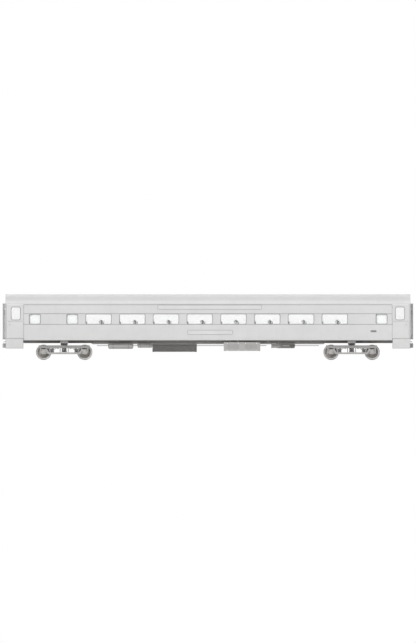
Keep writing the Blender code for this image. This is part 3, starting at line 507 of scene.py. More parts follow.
class Shape:
    """Solids collected into one mesh, which becomes one piece on one body."""

    def __init__(self):
        self.mesh = bmesh.new()
        self.finishes = []

    def paint(self, made, finish):
        """Give the newly made faces a finish."""
        if finish is None:
            return
        if finish not in self.finishes:
            self.finishes.append(finish)
        index = self.finishes.index(finish)
        for face in faces_of(made):
            face.material_index = index

    def box(self, xs, ys, zs, finish=None):
        centre = Vector((sum(xs) / 2, sum(ys) / 2, sum(zs) / 2))
        size = (abs(xs[1] - xs[0]), abs(ys[1] - ys[0]), abs(zs[1] - zs[0]), 1)
        placing = Matrix.Translation(centre) @ Matrix.Diagonal(size)
        made = bmesh.ops.create_cube(self.mesh, size=1, matrix=placing)["verts"]
        self.paint(made, finish)

    def rod(self, start, end, radius, finish=None, sides=16, tip=None):
        """A round bar between two points, which may taper to another radius."""
        start, end = Vector(start), Vector(end)
        turn = Vector((0, 0, 1)).rotation_difference(end - start).to_matrix().to_4x4()
        placing = Matrix.Translation((start + end) / 2) @ turn
        made = bmesh.ops.create_cone(self.mesh, cap_ends=True, segments=sides, radius1=radius,
                                     radius2=radius if tip is None else tip,
                                     depth=(end - start).length, matrix=placing)["verts"]
        self.paint(made, finish)

    def outline(self, points, plane, start, end, finish=None):
        """A flat outline given a thickness."""
        low, high = sorted((start, end))
        turn = PLANES[plane]
        shift = Vector(abs(value) for value in turn.to_3x3() @ Vector((0, 0, 1)))
        bottom = [self.mesh.verts.new(turn @ Vector((across, up, 0)) + shift * low) for across,
                  up in points]
        face = self.mesh.faces.new(bottom)
        moved = bmesh.ops.extrude_face_region(self.mesh, geom=[face])["geom"]
        top = [item for item in moved if isinstance(item, bmesh.types.BMVert)]
        bmesh.ops.translate(self.mesh, verts=top, vec=shift * (high - low))
        made = bottom + top
        bmesh.ops.recalc_face_normals(self.mesh, faces=faces_of(made))
        self.paint(made, finish)

    def ring(self, outer, inner, plane, start, end, finish=None):
        """A flat frame between two outlines that have the same number of points."""
        low, high = sorted((start, end))
        turn = PLANES[plane]
        shift = Vector(abs(value) for value in turn.to_3x3() @ Vector((0, 0, 1)))
        loops = []
        for points, level in ((outer, low), (outer, high), (inner, high), (inner, low)):
            loops.append([self.mesh.verts.new(turn @ Vector((across, up, 0)) + shift * level)
                          for across, up in points])
        count = len(outer)
        for index, loop in enumerate(loops):
            following = loops[(index + 1) % 4]
            for corner in range(count):
                after = (corner + 1) % count
                self.mesh.faces.new((loop[corner], loop[after], following[after],
                                     following[corner]))
        made = [vertex for loop in loops for vertex in loop]
        bmesh.ops.recalc_face_normals(self.mesh, faces=faces_of(made))
        self.paint(made, finish)

    def lathe(self, profile, centre, finish=None, sides=48, turn=None):
        """A closed profile of (radius, height) points turned about a centre line."""
        placing = Matrix.Translation(Vector(centre)) @ (turn or Matrix.Identity(4))
        rings = []
        for step in range(sides):
            angle = 2 * math.pi * step / sides
            ring = [Vector((radius * math.cos(angle), radius * math.sin(angle), height))
                    for radius, height in profile]
            rings.append([self.mesh.verts.new(placing @ point) for point in ring])
        made = [vertex for ring in rings for vertex in ring]
        for step, ring in enumerate(rings):
            following = rings[(step + 1) % sides]
            for index in range(len(profile) - 1):
                self.mesh.faces.new((ring[index], following[index], following[index + 1],
                                     ring[index + 1]))
        self.paint(made, finish)

    def tube(self, points, radius, finish=None, sides=10):
        """A round tube along a path."""
        points = [Vector(point) for point in points]
        turns = [2 * math.pi * step / sides for step in range(sides)]
        rings = []
        normal = None
        for index, point in enumerate(points):
            before = points[max(index - 1, 0)]
            after = points[min(index + 1, len(points) - 1)]
            along = (after - before).normalized()
            if normal is None:
                normal = along.orthogonal().normalized()
            normal = (normal - along * normal.dot(along)).normalized()
            side = along.cross(normal)
            ways = [normal * math.cos(turn) + side * math.sin(turn) for turn in turns]
            rings.append([self.mesh.verts.new(point + radius * way) for way in ways])
        for ring, following in zip(rings, rings[1:]):
            for step in range(sides):
                after = (step + 1) % sides
                self.mesh.faces.new((ring[step], ring[after], following[after], following[step]))
        self.mesh.faces.new(rings[0][::-1])
        self.mesh.faces.new(rings[-1])
        made = [vertex for ring in rings for vertex in ring]
        self.paint(made, finish)

    def done(self, name, body, finish, slot, edge=0.003, angle=35, replaced=()):
        """Turn the collected solids into a named piece that rides on a body."""
        bmesh.ops.remove_doubles(self.mesh, verts=self.mesh.verts, dist=0.00001)
        data = bpy.data.meshes.new(name)
        self.mesh.to_mesh(data)
        self.mesh.free()
        data.shade_smooth()
        data.set_sharp_from_angle(angle=math.radians(angle))
        for key in self.finishes or [finish]:
            data.materials.append(FINISHES[key])
        obj = bpy.data.objects.new(name, data)
        bpy.context.scene.collection.objects.link(obj)
        if edge:
            bevel = obj.modifiers.new("Edges", "BEVEL")
            bevel.width = edge
            bevel.segments = 2
            bevel.limit_method = "ANGLE"
            bevel.angle_limit = math.radians(40)
            bevel.harden_normals = True
        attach(obj, body)
        if replaced:
            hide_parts(*replaced)
        return obj


def rounded(left, right, low, high, radius, steps=8):
    """A rectangle whose corners are turned to a radius."""
    left, right = sorted((left, right))
    points = []
    corners = ((right, high, 0), (left, high, 90), (left, low, 180), (right, low, 270))
    for corner_x, corner_y, start in corners:
        centre_x = corner_x - math.copysign(radius, corner_x - (left + right) / 2)
        centre_y = corner_y - math.copysign(radius, corner_y - (low + high) / 2)
        for step in range(steps + 1):
            turn = math.radians(start + 90 * step / steps)
            points.append((centre_x + radius * math.cos(turn), centre_y + radius * math.sin(turn)))
    return points


def frame_round(shape, edges, grow_out, grow_in, radius, plane, start, end, finish):
    """A ring round an opening, given how far it reaches outside and inside the opening."""
    outer = rounded(*inset(edges, -grow_out), radius + grow_out)
    inner = rounded(*inset(edges, grow_in), radius - grow_in)
    shape.ring(outer, inner, plane, start, end, finish)


def arch(half_width, rise, base, steps=ROOF_STEPS):
    """The roof's arch, from its +Y foot over the top to its -Y foot."""
    points = []
    for step in range(steps + 1):
        turn = math.pi * step / steps
        reach = abs(math.cos(turn)) ** (2 / ROOF_FULLNESS)
        climb = max(math.sin(turn), 0) ** (2 / ROOF_FULLNESS)
        points.append((math.copysign(reach, math.cos(turn)) * half_width, base + climb * rise))
    return points


def window_spans():
    """The left and right edge of every window in a side wall."""
    middle = (LARGE_COUNT - 1) / 2
    spans = [(LARGE_CENTRE + (index - middle) * LARGE_PITCH, LARGE_WINDOW / 2)
             for index in range(LARGE_COUNT)]
    spans += [(centre, SMALL_WINDOW / 2) for centre in SMALL_CENTRES]
    return sorted((centre - half, centre + half) for centre, half in spans)


# ---------------------------------------------------------------- body shell

def roof_skin():
    """The roof sheet over its arch, with the ribs of its seams and the rolled drip edge."""
    shape = Shape()
    outer = arch(HALF_WIDTH - ROOF_RIB, ROOF_TOP - ROOF_RIB - EAVE, EAVE)
    inner = arch(INSIDE, ROOF_TOP - ROOF_SKIN - EAVE, EAVE)
    shape.outline(outer + inner[::-1], "YZ", -HALF_LENGTH, HALF_LENGTH)
    crest = arch(HALF_WIDTH, ROOF_TOP - EAVE, EAVE)
    under = arch(HALF_WIDTH - 2 * ROOF_RIB, ROOF_TOP - 2 * ROOF_RIB - EAVE, EAVE)
    seams = [LARGE_CENTRE + (index - 5.5) * LARGE_PITCH for index in range(12)]
    for seam in seams + [-HALF_LENGTH + 0.014, HALF_LENGTH - 0.014]:
        shape.outline(crest + under[::-1], "YZ", seam - 0.012, seam + 0.012)
    shape.done("roof_skin", "coach", "roof", "roof", edge=0, replaced=("roof",))


def wall_trim(name, side):
    """Mouldings along a side wall, with the frame and gasket round each of its windows."""
    shape = Shape()
    for low, high in MOULDINGS:
        shape.box((-JAMB_X, JAMB_X), pair(side, FACE - 0.002, FACE + PROUD), (low, high),
                  "moulding")
    for end in (1, -1):
        shape.box(pair(end, JAMB_X - 0.024, JAMB_X),
                  pair(side, FACE - 0.002, FACE + PROUD - 0.001), (SIDE_LOW + 0.032, EAVE - 0.032),
                  "moulding")
    for left, right in window_spans():
        edges = (left, right, WINDOW_LOW, WINDOW_HIGH)
        frame_round(shape, edges, 0.024, 0.002, WINDOW_CORNER, "XZ",
                    *pair(side, FACE - 0.040, FACE + 0.007), "moulding")
        frame_round(shape, edges, -0.002, 0.014, WINDOW_CORNER, "XZ",
                    *pair(side, FACE - 0.040, FACE - 0.004), "gasket")
        frame_round(shape, edges, 0.045, 0.004, WINDOW_CORNER, "XZ",
                    *pair(side, INSIDE - 0.008, INSIDE + 0.030), "bright")
    shape.done(name + "_wall_trim", "coach", "moulding", "trim", edge=0.0015)


def name_board(name, side, centre, level, length, height, finish="board"):
    """A blank letter board: a plate in a thin frame with rounded corners."""
    shape = Shape()
    edges = (centre - length / 2, centre + length / 2, level - height / 2, level + height / 2)
    radius = min(0.080, height * 0.3)
    shape.outline(rounded(*inset(edges, 0.004), radius), "XZ",
                  *pair(side, FACE - 0.001, FACE + 0.004), finish)
    frame_round(shape, edges, 0, 0.026, radius, "XZ", *pair(side, FACE - 0.001, FACE + PROUD),
                "moulding")
    screws = max(2, round(length / 0.6))
    step = (length - 0.120) / (screws - 1)
    for along in range(screws):
        across = edges[0] + 0.060 + along * step
        for up in (edges[2] + 0.034, edges[3] - 0.034):
            shape.rod((across, side * (FACE + 0.003), up), (across, side * (FACE + 0.006), up),
                      0.006, "bright", 10)
    shape.done(name, "coach", finish, "trim", edge=0.001)


def step_cover_trim(corner, end, side):
    """The frame, stiffening beads, latch and hinge of a folding step cover."""
    shape = Shape()
    face = COVER_HIGH.y
    left, right = sorted(pair(end, abs(COVER_LOW.x), abs(COVER_HIGH.x)))
    low, high = COVER_LOW.z, COVER_HIGH.z
    edges = (left, right, low, high)
    outer, inner = rounded(*inset(edges, 0.001), 0.006), rounded(*inset(edges, 0.026), 0.006)
    shape.ring(outer, inner, "XZ", *pair(side, face - 0.002, face + 0.004), "moulding")
    middle = (left + right) / 2
    for across in (left + 0.160, middle, right - 0.160):
        shape.rod((across - 0.055, side * (face - 0.006), low + 0.007),
                  (across + 0.055, side * (face - 0.006), low + 0.007), 0.006, "bright", 12)
    for across in (left + 0.300, right - 0.300):
        latch = rounded(*around(across, 0.045), high - 0.130, high - 0.070, 0.020)
        cup = rounded(*around(across, 0.034), high - 0.119, high - 0.081, 0.014)
        shape.ring(latch, cup, "XZ", *pair(side, face - 0.002, face + 0.003), "bright")
        # Painted shade: a near-black slot in each latch cup.
        shape.box(around(across, 0.010), pair(side, face - 0.001, face + 0.002),
                  (high - 0.117, high - 0.083), "seam")
    for index in range(3):
        across = left + 0.230 + index * (right - left - 0.460) / 2
        shape.box(around(across, 0.015), pair(side, face - 0.040, face - 0.027),
                  (low + 0.070, high - 0.070), "post")
    shape.done(corner + "_step_cover_trim", corner + "_step_cover", "moulding", "trim", edge=0.001)


def side_door_trim(corner, end, side):
    """What is fitted to the two leaves of a side door, inside and out."""
    inner_face = abs(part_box(corner + "_upper_door")[0 if side > 0 else 1].y)
    outer_face = abs(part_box(corner + "_upper_door")[1 if side > 0 else 0].y)
    leaf = sorted(abs(point.x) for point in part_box(corner + "_upper_door"))
    left, right, low, high = DOOR_WINDOW
    upper = Shape()
    edges = (*sorted(pair(end, left, right)), low, high)
    frame_round(upper, edges, 0.024, 0.002, DOOR_WINDOW_CORNER, "XZ",
                *pair(side, outer_face - 0.010, outer_face + 0.004), "moulding")
    frame_round(upper, edges, -0.001, 0.014, DOOR_WINDOW_CORNER, "XZ",
                *pair(side, inner_face + 0.008, outer_face - 0.004), "gasket")
    frame_round(upper, edges, 0.024, 0.002, DOOR_WINDOW_CORNER, "XZ",
                *pair(side, inner_face - 0.004, inner_face + 0.010), "bright")
    upper.box(pair(end, leaf[0] + 0.004, leaf[1] - 0.004),
              pair(side, outer_face - 0.020, outer_face + 0.003),
              (DOOR_SPLIT + 0.012, DOOR_SPLIT + 0.026), "moulding")
    upper.done(corner + "_upper_door_trim", corner + "_upper_door", "moulding", "trim", edge=0.001)
    lower = Shape()
    top = DOOR_SPLIT - 0.002
    lower.box(pair(end, leaf[0] + 0.004, leaf[1] - 0.004),
              pair(side, outer_face - 0.020, outer_face + 0.003), (top - 0.016, top), "moulding")
    foot = DOOR_LOW.z
    lower.box(pair(end, leaf[0] + 0.020, leaf[1] - 0.020),
              pair(side, inner_face - 0.003, inner_face + 0.002), (foot + 0.010, foot + 0.260),
              "bright")
    grip = end * (leaf[1] - 0.120)
    cup = rounded(*around(grip, 0.060), top - 0.250, top - 0.170, 0.030)
    rim = rounded(*around(grip, 0.045), top - 0.235, top - 0.185, 0.022)
    lower.ring(cup, rim, "XZ", *pair(side, outer_face - 0.002, outer_face + 0.004), "bright")
    # Painted shade: a near-black sheet fills the outer grip cup and stands in for the shade in its
    # recess.
    lower.box(around(grip, 0.044), pair(side, outer_face - 0.002, outer_face + 0.001),
              (top - 0.234, top - 0.186), "seam")
    lower.box(around(grip, 0.036), pair(side, outer_face, outer_face + 0.003),
              (top - 0.216, top - 0.202), "bright")
    lower.ring(cup, rim, "XZ", *pair(side, inner_face - 0.003, inner_face + 0.001), "bright")
    # Painted shade: the same near-black sheet fills the inner grip cup.
    lower.box(around(grip, 0.044), pair(side, inner_face - 0.001, inner_face + 0.001),
              (top - 0.234, top - 0.186), "seam")
    lower.done(corner + "_lower_door_trim", corner + "_lower_door", "moulding", "trim", edge=0.001)


def doorway_trim(corner, end, side):
    """Hinge knuckles, a grab rail and a bright jamb strip in the side doorway, on the body."""
    shape = Shape()
    hinge_x = end * (JAMB_X + 0.006)
    for level in (DOOR_LOW.z + 0.160, DOOR_SPLIT - 0.160, DOOR_SPLIT + 0.160, DOOR_HIGH.z - 0.160):
        shape.rod((hinge_x, side * (FACE - 0.053), level - 0.045),
                  (hinge_x, side * (FACE - 0.053), level + 0.045), 0.004, "bright", 10)
    rail_x = end * (POST_X - 0.001)
    across = side * INNER_RAIL_Y
    shape.tube([(rail_x, across, 1.700), (rail_x - end * 0.055, across, 1.730),
                (rail_x - end * 0.055, across, 2.570), (rail_x, across, 2.600)], 0.014, "bright",
               12)
    shape.box(pair(end, JAMB_X + 0.002, JAMB_X - 0.010),
              pair(side, INSIDE - 0.012, INSIDE + 0.010), (FLOOR + 0.002, EAVE - 0.010), "bright")
    shape.done(corner + "_doorway_trim", "coach", "bright", "trim", edge=0.001)


def trap_trim(corner, end, side):
    """The edge strips and the lifting ring of a trap door, over a near-black square that is
    painted shade for the ring's recess.
    """
    shape = Shape()
    left, right = sorted(pair(end, abs(TRAP_LOW.x), abs(TRAP_HIGH.x)))
    near, far = sorted(abs(point.y) for point in (TRAP_LOW, TRAP_HIGH))
    top = TRAP_HIGH.z
    edges = (left, right, near, far)
    outer, inner = rounded(*inset(edges, 0.001), 0.010), rounded(*inset(edges, 0.026), 0.006)
    shape.ring([(x, side * y) for x, y in outer], [(x, side * y) for x, y in inner], "XY",
               top - 0.001, top + 0.003, "bright")
    centre = ((left + right) / 2 - end * 0.300, side * (far - 0.180))
    square = rounded(centre[0] - 0.060, centre[0] + 0.060, centre[1] - 0.035, centre[1] + 0.035,
                     0.015)
    # Painted shade: a near-black square stands in for the shaded recess under the lifting ring.
    shape.outline(square, "XY", top - 0.001, top + 0.0015, "seam")
    loop = [(centre[0] + 0.042 * math.cos(turn), centre[1] + 0.022 * math.sin(turn), top + 0.0028)
            for turn in (2 * math.pi * step / 24 for step in range(25))]
    shape.tube(loop, 0.0028, "bright", 8)
    for across in (left + 0.180, right - 0.180):
        shape.box(around(across, 0.030), pair(side, near + 0.050, far - 0.050),
                  (TRAP_LOW.z - 0.024, TRAP_LOW.z + 0.002), "post")
    shape.done(corner + "_trap_door_trim", corner + "_trap_door", "bright", "trim", edge=0.0008)


def stair_treads(corner, end, side):
    """Chequered treads with bright nosings on the stair's three steps."""
    near, far = sorted(abs(point.x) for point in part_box(corner + "_stair"))
    left, right = sorted(pair(end, near + 0.022, far - 0.022))
    shape = Shape()
    for index in range(STAIR_COUNT):
        outer = STAIR_OUTER - index * STAIR_GOING
        level = STAIR_LOW + index * STAIR_RISE
        shape.box((left + 0.010, right - 0.010), pair(side, outer - 0.262, outer - 0.028),
                  (level, level + 0.004), "plate")
        shape.box((left + 0.004, right - 0.004), pair(side, outer - 0.030, outer),
                  (level, level + 0.006), "bright")
        for along in range(9):
            rib = left + 0.060 + along * (right - left - 0.120) / 8
            shape.box(around(rib, 0.018), pair(side, outer - 0.026, outer - 0.006),
                      (level + 0.005, level + 0.008), "seam")
    for edge in (left + 0.004, right - 0.004):
        shape.rod((edge, side * STAIR_POST_Y, 0.780), (edge, side * STAIR_POST_Y, 1.240), 0.012,
                  "bright")
    shape.done(corner + "_stair_treads", "coach", "plate", "tread", edge=0.0008)


def end_details(name, end):
    """Posts, lamps, grab irons, jumper sockets and the uncoupling gear on an end wall."""
    shape = Shape()
    face = end * HALF_LENGTH
    for side in (1, -1):
        shape.box((face - end * 0.002, face + end * 0.010), pair(side, 0.640, 0.670),
                  (FLOOR + 0.010, 3.640), "post")
        shape.box((face - end * 0.002, face + end * 0.010), pair(side, 1.470, 1.512),
                  (FLOOR + 0.010, EAVE - 0.012), "post")
        shape.box((face - end * 0.002, face + end * 0.008), pair(side, 0.670, 1.470),
                  (2.380, 2.404), "post")
        shape.box((face - end * 0.002, face + end * 0.030), pair(side, 0.620, 1.478),
                  (1.300, 1.362), "post")
        iron = side * END_RAIL_Y
        foot, top = END_RAIL
        shape.tube([(face, iron, foot), (face + end * 0.055, iron, foot + 0.015),
                    (face + end * 0.065, iron, foot + 0.040),
                    (face + end * 0.065, iron, top - 0.040),
                    (face + end * 0.055, iron, top - 0.015), (face, iron, top)], 0.013, "bright",
                   12)
        for level in END_RAIL:
            shape.rod((face, iron, level), (face + end * 0.010, iron, level), 0.034, "bright", 20)
        inner, outer = pair(side, *RUNG_Y)
        for level in RUNGS:
            shape.tube([(face, inner, level), (face + end * 0.060, inner, level),
                        (face + end * 0.060, outer, level), (face, outer, level)], 0.011, "bright",
                       10)
        turn = quarter(end, "Y")
        lamp = (face, side * MARKER[0], MARKER[1])
        shape.lathe([(0, 0), (0.090, 0), (0.090, 0.030), (0.078, 0.055), (0.078, 0.090),
                     (0.066, 0.096), (0.060, 0.084), (0, 0.084)], lamp, "post", 40, turn)
        shape.lathe([(0, 0.080), (0.060, 0.080), (0.052, 0.094), (0.030, 0.104), (0, 0.108)], lamp,
                    "red_lens", 40, turn)
        socket = side * SOCKET_Y
        shape.box((face, face + end * 0.070), around(socket, 0.070), (3.080, 3.240), "equipment")
        shape.rod((face + end * 0.040, socket, 3.130), (face + end * 0.110, socket, 3.090), 0.045,
                  "equipment", 20)
        shape.rod((face + end * 0.105, socket, 3.093), (face + end * 0.122, socket, 3.083), 0.052,
                  "pipe", 20)
    for side in (1, -1):
        shape.tube([(face + end * 0.030, side * 0.300, 1.140),
                    (face + end * 0.090, side * 0.360, 1.150),
                    (face + end * 0.090, side * 1.180, 1.150),
                    (face + end * 0.110, side * 1.240, 1.130),
                    (face + end * 0.110, side * 1.250, 0.960)], 0.012, "pipe", 10)
        for across in (0.560, 1.120):
            shape.box((face - end * 0.100, face + end * 0.104),
                      pair(side, across - 0.020, across + 0.020), (1.134, 1.168), "equipment")
        shape.box((face - end * 0.110, face - end * 0.084), pair(side, 0.500, 1.180),
                  (1.134, 1.300), "underframe")
    shape.done(name + "_end_details", "coach", "post", "trim", edge=0.002)


def bellows(name, end):
    """A pleated canvas gangway with its steel face plate and buffing springs."""
    start = HALF_LENGTH + 0.0005
    depth = GANGWAY_FACE - start
    pleats = Shape()
    fold = (depth - 0.022) / BELLOWS_FOLDS
    for index in range(BELLOWS_FOLDS):
        near = end * (start + index * fold)
        middle = end * (start + (index + 0.5) * fold)
        far = end * (start + (index + 1) * fold)
        for first, last in ((near, middle), (middle, far)):
            pleats.ring(rounded(*BELLOWS_OUTER, 0.100), rounded(*BELLOWS_INNER, 0.030), "YZ",
                        first + end * 0.002, last - end * 0.002)
    obj = pleats.done(name + "_bellows", "coach", "bellows", "rubber", edge=0.012,
                      replaced=(name + "_diaphragm",))
    obj.modifiers["Edges"].segments = 4
    plate = Shape()
    plate.ring(rounded(*PLATE_OUTER, 0.120), rounded(*PLATE_INNER, 0.030), "YZ",
               *pair(end, GANGWAY_FACE - 0.020, GANGWAY_FACE), "post")
    for level in (1.420, 2.100, 2.800, 3.480):
        for side in (1, -1):
            across = side * (0.500 if level < 3.4 else 0.300)
            plate.rod((end * (GANGWAY_FACE - 0.030), across, level),
                      (end * (GANGWAY_FACE - 0.002), across, level), 0.018, "bright", 16)
    plate.box(pair(end, HALF_LENGTH - 0.060, GANGWAY_FACE - 0.060), (-0.520, 0.520),
              (1.368, 1.3725), "plate")
    plate.done(name + "_face_plate", "coach", "post", "trim", edge=0.003)


def passage_door(body, node, end):
    """Glass, glazing beads, kick plates and handles of a door across a passage."""
    low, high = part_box(node)
    near, far = sorted((low.x, high.x))
    shape = Shape()
    shape.outline(rounded(*inset(PANE, 0.001), PANE_CORNER - 0.001), "YZ",
                  (near + far) / 2 - 0.003, (near + far) / 2 + 0.003, "glass")
    for face, out in ((near, -1), (far, 1)):
        frame_round(shape, PANE, 0.022, 0.002, PANE_CORNER, "YZ", face + out * 0.003,
                    face - out * 0.008, "bright")
        frame_round(shape, PANE, -0.001, 0.012, PANE_CORNER, "YZ", face - out * 0.008,
                    (near + far) / 2 + out * 0.003, "gasket")
        shape.box((face + out * 0.0025, face - out * 0.002), (-0.330, 0.330),
                  (low.z + 0.030, low.z + 0.300), "bright")
        grip = -end * 0.290
        shape.ring(rounded(*around(grip, 0.028), 2.070, 2.250, 0.012),
                   rounded(*around(grip, 0.018), 2.082, 2.238, 0.008), "YZ", face + out * 0.004,
                   face - out * 0.001, "bright")
        # Painted shade: a near-black sheet fills each grip cup and stands in for the shade in its
        # recess.
        shape.box((face + out * 0.001, face - out * 0.001), around(grip, 0.019), (2.081, 2.239),
                  "seam")
        shape.box((face + out * 0.003, face), around(grip, 0.006), (2.100, 2.220), "bright")
    shape.done(node + "_trim", body, "bright", "trim", edge=0.001)


# ---------------------------------------------------------------- below the floor

def reservoir(shape, start, end, across, level, radius):
    """An air tank with domed ends, hung in two straps."""
    dome = radius * 0.42
    profile = [(0, 0)]
    for step in range(1, 9):
        turn = math.pi / 2 * step / 8
        profile.append((radius * math.sin(turn), dome * (1 - math.cos(turn))))
    length = end - start
    profile += [(reach, length - up) for reach, up in reversed(profile)]
    turn = quarter(1, "Y")
    shape.lathe(profile, (start, across, level), "equipment", 40, turn)
    for strap in (start + length * 0.2, end - length * 0.2):
        outer = circle(across, level, radius + 0.008, 32)
        inner = circle(across, level, radius - 0.002, 32)
        shape.ring(outer, inner, "YZ", strap - 0.025, strap + 0.025, "pipe")
        for side in (1, -1):
            post = across + side * (radius + 0.012)
            shape.box(around(strap, 0.020), around(post, 0.006), (level, 1.160), "pipe")


def air_brakes():
    """Reservoirs, the brake cylinder, its levers and the pipes along the underframe."""
    shape = Shape()
    for tank in TANKS:
        reservoir(shape, *tank)
    turn = quarter(1, "Y")
    shape.lathe([(0, 0), (0.150, 0), (0.165, 0.014), (0.165, 0.040), (0.140, 0.046),
                 (0.140, 0.520), (0.170, 0.526), (0.170, 0.560), (0.060, 0.590), (0.045, 0.700),
                 (0, 0.700)], (4.000, -0.900, BRAKE_Z), "equipment", 40, turn)
    shape.rod((4.690, -0.900, BRAKE_Z), (5.150, -0.900, BRAKE_Z), 0.022, "bright")
    shape.box((5.120, 5.180), (-1.180, -0.300), (0.870, 0.930), "pipe")
    for start, finish, across in BRAKE_RODS:
        shape.rod((start, across, BRAKE_Z), (finish, across, BRAKE_Z), 0.016, "pipe", 12)
    for across, level in PIPES:
        shape.tube([(-PIPE_END, across, level + 0.050), (0.100 - PIPE_END, across, level),
                    (PIPE_END - 0.100, across, level), (PIPE_END, across, level + 0.050)], 0.021,
                   "pipe", 12)
        for index in range(12):
            clip = -7.000 + index * 14.0 / 11
            shape.box(around(clip, 0.014), around(across, 0.030), (level - 0.026, 1.180),
                      "underframe")
    for index in range(6):
        place = -7.000 + index * 2.8
        shape.box(around(place, 0.035), (-1.400, 1.400), (1.155, 1.200), "underframe")
    shape.done("air_brakes", "coach", "pipe", "underframe", edge=0.003)


def battery_box_trim():
    """Two drop doors with frames, hinges, latches and louvres on the battery box."""
    low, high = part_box("battery_box")
    shape = Shape()
    half = (high.x - low.x) / 2
    for index in range(2):
        left = low.x + index * half + 0.030
        right = left + half - 0.060
        edges = (left, right, low.z + 0.040, high.z - 0.060)
        shape.outline(rounded(*edges, 0.020), "XZ", low.y - 0.012, low.y + 0.001, "equipment")
        inner = (left + 0.090, right - 0.090, low.z + 0.120, high.z - 0.140)
        frame_round(shape, inner, 0.012, 0.006, 0.030, "XZ", low.y - 0.018, low.y - 0.010,
                    "equipment")
        for row in range(5):
            level = inner[2] + 0.040 + row * (inner[3] - inner[2] - 0.080) / 4
            shape.box((inner[0] + 0.060, inner[1] - 0.060), (low.y - 0.020, low.y - 0.011),
                      around(level, 0.009), "pipe")
        for along in (0.18, 0.82):
            across = left + (right - left) * along
            shape.rod((across - 0.060, low.y - 0.012, low.z + 0.036),
                      (across + 0.060, low.y - 0.012, low.z + 0.036), 0.011, "bright")
            shape.box(around(across, 0.022), (low.y - 0.024, low.y - 0.010),
                      (high.z - 0.120, high.z - 0.050), "bright")
    for end in (low.x + 0.060, high.x - 0.060):
        shape.box(around(end, 0.030), (low.y + 0.010, high.y - 0.010),
                  (low.z - 0.012, low.z + 0.002), "pipe")
    shape.done("battery_box_trim", "coach", "equipment", "underframe", edge=0.002)


def air_conditioner_trim():
    """Louvred panels and two fan guards over the condenser."""
    low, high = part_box("air_conditioner")
    shape = Shape()
    face = high.y
    for index in range(2):
        centre = low.x + (high.x - low.x) * (0.20 + 0.34 * index)
        level = (low.z + high.z) / 2
        for radius in (0.235, 0.185, 0.135, 0.085):
            shape.ring(circle(centre, level, radius, 40),
                       circle(centre, level, radius - 0.014, 40), "XZ", face - 0.001, face + 0.010,
                       "bright")
        for step in range(6):
            turn = math.pi * step / 6
            reach = Vector((math.cos(turn), 0, math.sin(turn))) * 0.230
            middle = Vector((centre, face + 0.010, level))
            shape.rod(middle - reach, middle + reach, 0.005, "bright", 8)
        hub = quarter(-1, "X")
        shape.lathe([(0, 0), (0.070, 0), (0.062, 0.014), (0, 0.018)], (centre, face, level),
                    "pipe", 32, hub)
    left, right = low.x + (high.x - low.x) * 0.72, high.x - 0.060
    frame_round(shape, (left, right, low.z + 0.060, high.z - 0.080), 0.016, 0.006, 0.020, "XZ",
                face - 0.001, face + 0.012, "equipment")
    for row in range(11):
        level = low.z + 0.095 + row * (high.z - low.z - 0.210) / 10
        shape.outline([(face - 0.001, level - 0.014), (face + 0.014, level - 0.010),
                       (face + 0.010, level + 0.004), (face - 0.001, level + 0.012)], "YZ",
                      left + 0.012, right - 0.012, "equipment")
    for end in (low.x + 0.060, high.x - 0.060):
        shape.box(around(end, 0.030), (low.y + 0.010, high.y - 0.010),
                  (low.z - 0.012, low.z + 0.002), "pipe")
    shape.done("air_conditioner_trim", "coach", "equipment", "underframe", edge=0.002)


# ---------------------------------------------------------------- bogies

def coil(shape, centre, radius, low, high, turns, wire, finish="spring"):
    """A helical spring whose end turns lie flat on their seats."""
    points = []
    steps = round(turns * 20)
    for step in range(steps + 1):
        part = step / steps
        turn = 2 * math.pi * turns * part
        climb = min(max((part - 0.08) / 0.84, 0), 1)
        points.append((centre[0] + (radius - wire) * math.cos(turn),
                       centre[1] + (radius - wire) * math.sin(turn),
                       low + wire + climb * (high - low - 2 * wire)))
    shape.tube(points, wire, finish, 8)


def bolt(shape, place, direction, radius=0.014, height=0.014, finish="bogie"):
    """A hexagonal head on its washer."""
    place, direction = Vector(place), Vector(direction)
    shape.rod(place, place + direction * height, radius, finish, 6)
    shape.rod(place - direction * 0.001, place + direction * 0.003, radius * 1.5, finish, 14)


